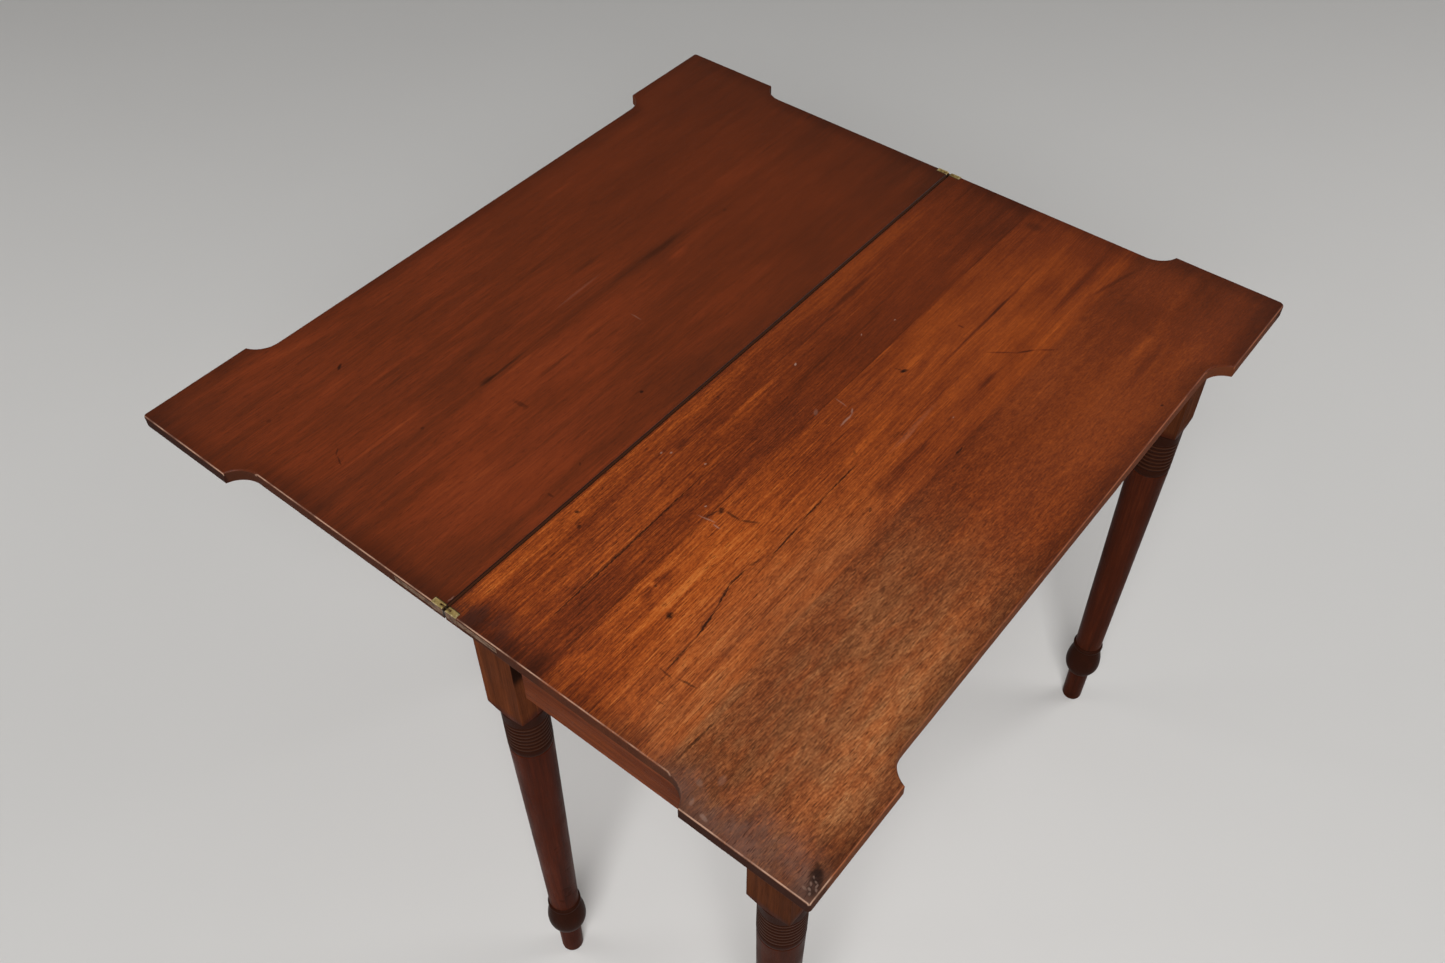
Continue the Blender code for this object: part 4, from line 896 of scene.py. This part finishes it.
def leaf(leaf_name, end, finish):
    """A leaf with rounded arrises, let in at both ends for the hinges."""
    corner = {"fixed": WORN_CORNER_RADIUS, "flip": OUTSET_CORNER_RADIUS}[leaf_name]
    outline = [(x, end * y) for x, y in leaf_outline(corner)]
    thing = slab(leaf_name + "_leaf_board", outline, XY_PLANE, UNDERSIDE, TOP)
    work = bmesh.new()
    work.from_mesh(thing.data)
    weight = work.edges.layers.float.new("bevel_weight_edge")
    for edge in work.edges:
        level = abs(edge.verts[0].co.z - edge.verts[1].co.z) < FIT
        edge[weight] = float(level and edge.calc_face_angle() > STEEP)
    work.to_mesh(thing.data)
    work.free()
    bevel = add_bevel(thing, ARRIS_RADIUS, 5)
    bevel.limit_method = "WEIGHT"
    bevel.use_clamp_overlap = False
    settle(thing)
    for vertex in thing.data.vertices:
        if abs(vertex.co.y) > 2 * JOINT_EDGE:
            vertex.co = wander(vertex.co, 5 * end)
    cutters = []
    for side_name, side in SIDES:
        cutters += hinge_recesses(leaf_name + "_" + side_name, side, end)
    boolean(thing, *cutters)
    shade(thing, 40)
    dress(thing, LEAF_BODY[leaf_name], finish, leaf_name + "_leaf")


# Hinges

def screw_places(side, end):
    """Where the heads of one arm's two screws lie."""
    return [(side * STRIP_FACE, end * (HEAD_LENGTH + STRIP_LENGTH * share), STRIP_MIDDLE)
            for share in SCREW_SHARES]


def screw_profile(grow=0, overrun=0):
    """A countersunk screw; its tip points along +Z and its head's face is at zero."""
    shank = SCREW_RADIUS + grow
    head = SCREW_HEAD_RADIUS + grow
    length = SCREW_LENGTH + grow
    profile = [(0, length), (shank, length - SCREW_TIP), (shank, SCREW_HEAD_DEPTH + grow), (head, grow)]
    if overrun:
        profile.append((head, -overrun))
    return profile + [(0, -overrun)]


def hinge_screw(name, side, face, turn, node, body, finish):
    """A countersunk brass screw whose slot has stopped at its own angle."""
    thing = turned(name, screw_profile(), SCREW_STEPS)
    slot = brick(name + "_slot", (-SCREW_LENGTH, -SLOT_WIDTH / 2, -OVERRUN),
                 (SCREW_LENGTH, SLOT_WIDTH / 2, SLOT_DEPTH))
    slot.data.transform(Matrix.Rotation(math.radians(turn), 4, "Z"))
    boolean(thing, slot)
    aim(thing, face, (-side, 0, 0))
    shade(thing, 30)
    dress(thing, body, finish, node)


def head_outline(end):
    """Side view of a hinge head: round about its pin at the joint, flat along the top."""
    nose = arc((PIN_SPREAD, PIN_Z), PIN_DEPTH, 90, 180, BULB_STEPS)
    nose += [(PIN_SPREAD - PIN_DEPTH, HEAD_BOTTOM), (HEAD_LENGTH, HEAD_BOTTOM), (HEAD_LENGTH, TOP)]
    return [(end * y, z) for y, z in nose]


def bar(name, x_low, x_high, y, radius):
    """A round bar along X at the height of the hinge pins."""
    length = x_high - x_low
    thing = turned(name, [(0, length), (radius, length), (radius, 0), (0, 0)], PIN_STEPS)
    return aim(thing, (x_low, y, PIN_Z), (1, 0, 0))


def hinge_arm(leaf_name, end, side_name, side, finish):
    """An arm of an edge hinge: slotted head, pin, and the strip screwed to the leaf's end."""
    body = LEAF_BODY[leaf_name]
    tag = leaf_name + "_hinge_" + side_name
    low, high = sorted((side * LEAF_END, side * (LEAF_END - HEAD_WIDTH)))
    thing = slab(tag + "_brass_arm", head_outline(end), YZ_PLANE, low, high)
    strip = brick(tag + "_strip", (side * STRIP_FACE, end * (HEAD_LENGTH - OVERRUN), STRIP_BOTTOM),
                  (side * (STRIP_FACE - STRIP_THICKNESS), end * (HEAD_LENGTH + STRIP_LENGTH), STRIP_TOP))
    boolean(thing, strip, operation="UNION")
    pin_y = end * PIN_SPREAD
    middle = side * HEAD_MIDDLE
    half = LINK_THICKNESS / 2 + FIT
    slot = brick(tag + "_slot", (middle - half, -end * OVERRUN, PIN_Z - LINK_HALF_HEIGHT - FIT),
                 (middle + half, end * (PIN_SPREAD + LINK_HALF_HEIGHT + FIT), TOP + OVERRUN))
    hole = bar(tag + "_hole", low - OVERRUN, high + OVERRUN, pin_y, PIN_RADIUS + PIN_FIT)
    boolean(thing, slot, hole)
    soften(thing, BRASS_ARRIS, 3)
    holes = []
    for number, place in enumerate(screw_places(side, end), start=1):
        sink = turned(tag + "_sink", screw_profile(PIN_FIT, OVERRUN), SCREW_STEPS)
        holes.append(aim(sink, place, (-side, 0, 0)))
        turn = 35 * number + 50 * side + 20 * end
        hinge_screw(tag + "_slotted_screw_" + str(number), side, place, turn,
                    f"{leaf_name}_hinge_screw_{side_name}_{number}", body, finish)
    boolean(thing, *holes)
    shade(thing, 30)
    dress(thing, body, finish, leaf_name + "_hinge_arm_" + side_name)
    pin = soften(bar(tag + "_brass_pin", low, high, pin_y, PIN_RADIUS), BRASS_ARRIS / 2, 2)
    dress(pin, body, finish, leaf_name + "_hinge_pin_" + side_name)


def hinge_link(side_name, side, finish):
    """The loose link in the slots of both heads, with an eye about each pin."""
    middle = side * HEAD_MIDDLE
    low, high = middle - LINK_THICKNESS / 2, middle + LINK_THICKNESS / 2
    rounded = arc((PIN_SPREAD, PIN_Z), LINK_HALF_HEIGHT, -90, 90, 20)
    thing = slab("brass_link_" + side_name, rounded + mirrored(rounded), YZ_PLANE, low, high)
    eyes = [bar("eye", low - OVERRUN, high + OVERRUN, end * PIN_SPREAD, PIN_RADIUS + PIN_FIT)
            for _, end in LEAVES]
    boolean(thing, *eyes)
    soften(thing, BRASS_ARRIS / 2, 2)
    dress(thing, "hinge_links", finish, "hinge_link_" + side_name)


# Legs

def half_round(base, crest, top, height, steps):
    """A bead's profile, top to bottom, between two points on its base radius."""
    points = []
    for step in range(steps + 1):
        angle = math.pi * step / steps
        points.append((base + (crest - base) * math.sin(angle), top - height * (1 - math.cos(angle)) / 2))
    return points


def leg_profile():
    """Radius and height of the turning, from above the stile down to the floor."""
    outside = STILE_CORNER + SHOULDER_MARGIN
    points = [(0, FRAME_TOP), (outside, FRAME_TOP),
              (outside, SHOULDER_HEIGHT + SHOULDER_MARGIN * SHOULDER_SLOPE),
              (QUIRK_RADIUS, QUIRK_TOP), (QUIRK_RADIUS, QUIRK_TOP - QUIRK_HEIGHT)]
    band_edge = TURNING_RADIUS - EDGE_DROP
    points += arc((band_edge, BAND_TOP), EDGE_DROP, 90, 0, EDGE_STEPS)
    points += arc((band_edge, BAND_TOP - BAND_HEIGHT), EDGE_DROP, 0, -90, EDGE_STEPS)
    valley = TURNING_RADIUS - RING_DEPTH
    for ring in range(RING_COUNT):
        top = RINGS_TOP - ring * RING_PITCH
        points += half_round(valley, TURNING_RADIUS, top, RING_PITCH, CORNER_STEPS)[:-1]
    points.append((valley, RINGS_BOTTOM))
    points += half_round(valley, TURNING_RADIUS, BEAD_TOP, LOWER_BEAD_HEIGHT, BEAD_STEPS)
    points += [(BODY_TOP_RADIUS - EDGE_DROP, BEAD_BOTTOM), (BODY_TOP_RADIUS, BEAD_BOTTOM - EDGE_DROP),
               (BODY_BOTTOM_RADIUS, BODY_BOTTOM_HEIGHT)]
    points += half_round(BULB_TOP_RADIUS, COLLAR_RADIUS, COLLAR_TOP, COLLAR_HEIGHT, BEAD_STEPS)
    for step in range(1, BULB_STEPS + 1):
        angle = math.pi / 2 * step / BULB_STEPS
        points.append((BULB_TOP_RADIUS + (BULB_RADIUS - BULB_TOP_RADIUS) * math.sin(angle),
                       BULB_WIDEST_HEIGHT + (BULB_TOP - BULB_WIDEST_HEIGHT) * (1 - step / BULB_STEPS)))
    last = math.acos(PEG_TOP_RADIUS / BULB_RADIUS)
    for step in range(1, BULB_STEPS + 1):
        angle = last * step / BULB_STEPS
        drop = (BULB_WIDEST_HEIGHT - PEG_TOP_HEIGHT) * math.sin(angle) / math.sin(last)
        points.append((BULB_RADIUS * math.cos(angle), BULB_WIDEST_HEIGHT - drop))
    points += arc((PEG_FOOT_RADIUS - PEG_EDGE_RADIUS, PEG_EDGE_RADIUS), PEG_EDGE_RADIUS, 0, -90, 6)
    return points + [(0, 0)]


def leg(node, body, finish):
    """A leg turned from the square, its stile's corners just softened."""
    low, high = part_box(node)
    x, y = (low.x + high.x) / 2, (low.y + high.y) / 2
    thing = turned(node + "_turning", leg_profile(), TURNING_STEPS)
    corner = arc((HALF_STILE - STILE_ARRIS, HALF_STILE - STILE_ARRIS), STILE_ARRIS, 0, 90, EDGE_STEPS)
    half = corner + mirrored(corner)
    square = half + [(-across, -up) for across, up in half]
    stock = slab(node + "_square", square, XY_PLANE, -OVERRUN, FRAME_TOP + OVERRUN)
    boolean(thing, stock, operation="INTERSECT")
    thing.data.transform(Matrix.Translation((x, y, 0)))
    shade(thing, 32)
    dress(thing, body, finish, node)


# Frame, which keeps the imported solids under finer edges

def ease_edges(node, finish, width=RAIL_EASE):
    """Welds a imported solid, rounds its edges and gives it its finish."""
    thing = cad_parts[node]
    weld = thing.modifiers.new("weld", "WELD")
    weld.merge_threshold = WELD
    flat = thing.modifiers.new("flat", "DECIMATE")
    flat.decimate_type = "DISSOLVE"
    flat.angle_limit = FLAT
    add_bevel(thing, width, 2)
    thing.modifiers.new("normals", "WEIGHTED_NORMAL").keep_sharp = True
    thing.data.materials.clear()
    thing.data.materials.append(finish)
    thing.data.shade_smooth()


def build_table():
    brass, iron, rails, legs = brass_finish(), iron_finish(), rail_finish(), leg_finish()
    pine = {axis: bare_wood("aged_pine", axis, "70502f", "9c7249", "b99264") for axis in "xyz"}
    birch = {axis: bare_wood("aged_birch", axis, "643f25", "8b5f3a", "a87a50") for axis in "xy"}
    leaf("fixed", -1, fixed_leaf_finish())
    leaf("flip", 1, flip_leaf_finish())
    for side_name, side in SIDES:
        leg("front_" + side_name + "_leg", "frame", legs)
        leg(side_name + "_fly_leg", side_name + "_fly", legs)
        hinge_link(side_name, side, brass)
        for leaf_name, end in LEAVES:
            hinge_arm(leaf_name, end, side_name, side, brass)
        ease_edges(side_name + "_end_rail", rails)
        ease_edges("rear_glue_block_" + side_name, pine["z"], BLOCK_EASE)
        ease_edges("knuckle_pin_" + side_name, iron, PIN_EASE)
    ease_edges("left_fly_rail", birch["x"])
    ease_edges("right_fly_rail", birch["y"])
    ease_edges("front_rail", rails)
    ease_edges("inner_rear_rail", pine["x"])
    ease_edges("medial_brace", pine["y"], BLOCK_EASE)
    ease_edges("knuckle_block", birch["x"])
    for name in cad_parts:
        if name.startswith(("top_screw", "knuckle_block_screw")):
            ease_edges(name, iron, SCREW_EASE)


# Floor, light and camera

FLOOR_RADIUS = 7.0
FLOOR_TURN = 2.0
FLOOR_WALL = 3.6
FLOOR_PALE = (0.68, 0.67, 0.655, 1.0)
FLOOR_PALER = (0.7, 0.69, 0.675, 1.0)


def floor():
    """A pale floor that rises into a backdrop far from the table."""
    rise = arc((FLOOR_RADIUS, FLOOR_TURN), FLOOR_TURN, 0, -90, COVE_STEPS)
    profile = [(FLOOR_RADIUS + FLOOR_TURN, FLOOR_WALL), *rise, (0, 0)]
    thing = turned("floor", profile, TURNING_STEPS)
    thing.data.shade_smooth()
    f = Finish("pale_floor", specular=0.2)
    wash = f.mix(f.noise((3, 3, 3), 3.0), FLOOR_PALE, FLOOR_PALER)
    thing.data.materials.append(f.done(wash, 0.9))


def softbox(name, place, size, power):
    """A square lamp that looks at the middle of the top."""
    light = bpy.data.lights.new(name, "AREA")
    light.shape = "SQUARE"
    light.size = size
    light.energy = power
    thing = put(name, light)
    thing.location = place
    ahead = Vector((0, 0, TOP)) - Vector(place)
    thing.rotation_euler = ahead.to_track_quat("-Z", "Y").to_euler()
    thing.visible_camera = False


def lights():
    world = bpy.data.worlds.new("studio")
    world.use_nodes = True
    backdrop = world.node_tree.nodes["Background"].inputs
    backdrop["Color"].default_value = (1.0, 0.99, 0.97, 1.0)
    backdrop["Strength"].default_value = 0.13
    bpy.context.scene.world = world
    softbox("key", (-2.2, -1.5, 3.2), 1.6, 125)
    softbox("fill", (2.6, -2.0, 2.6), 2.0, 42)
    softbox("rear", (-1.8, 3.0, 2.2), 2.0, 30)


CAMERA_PLACE = (-0.8281, -0.6473, 1.7283)
CAMERA_AZIMUTH = 51.16
CAMERA_DIP = 47.96
CAMERA_ROLL = 0.3
PHOTO_WIDTH = 1445
FOCAL_PIXELS = 1339.62
SENSOR = 36.0


def camera():
    """The photograph's own view, turned right from +Y, dipped and rolled by degrees."""
    thing = put("camera", bpy.data.cameras.new("camera"))
    place = Matrix.Translation(CAMERA_PLACE)
    for degrees, axis in ((-CAMERA_AZIMUTH, "Z"), (90 - CAMERA_DIP, "X"), (-CAMERA_ROLL, "Z")):
        place @= Matrix.Rotation(math.radians(degrees), 4, axis)
    thing.matrix_world = place
    thing.data.sensor_width = SENSOR
    thing.data.lens = FOCAL_PIXELS / PHOTO_WIDTH * SENSOR
    bpy.context.scene.camera = thing


camera()
floor()
lights()
build_table()
bpy.context.scene.view_settings.view_transform = "Standard"

bpy.context.view_layer.update()
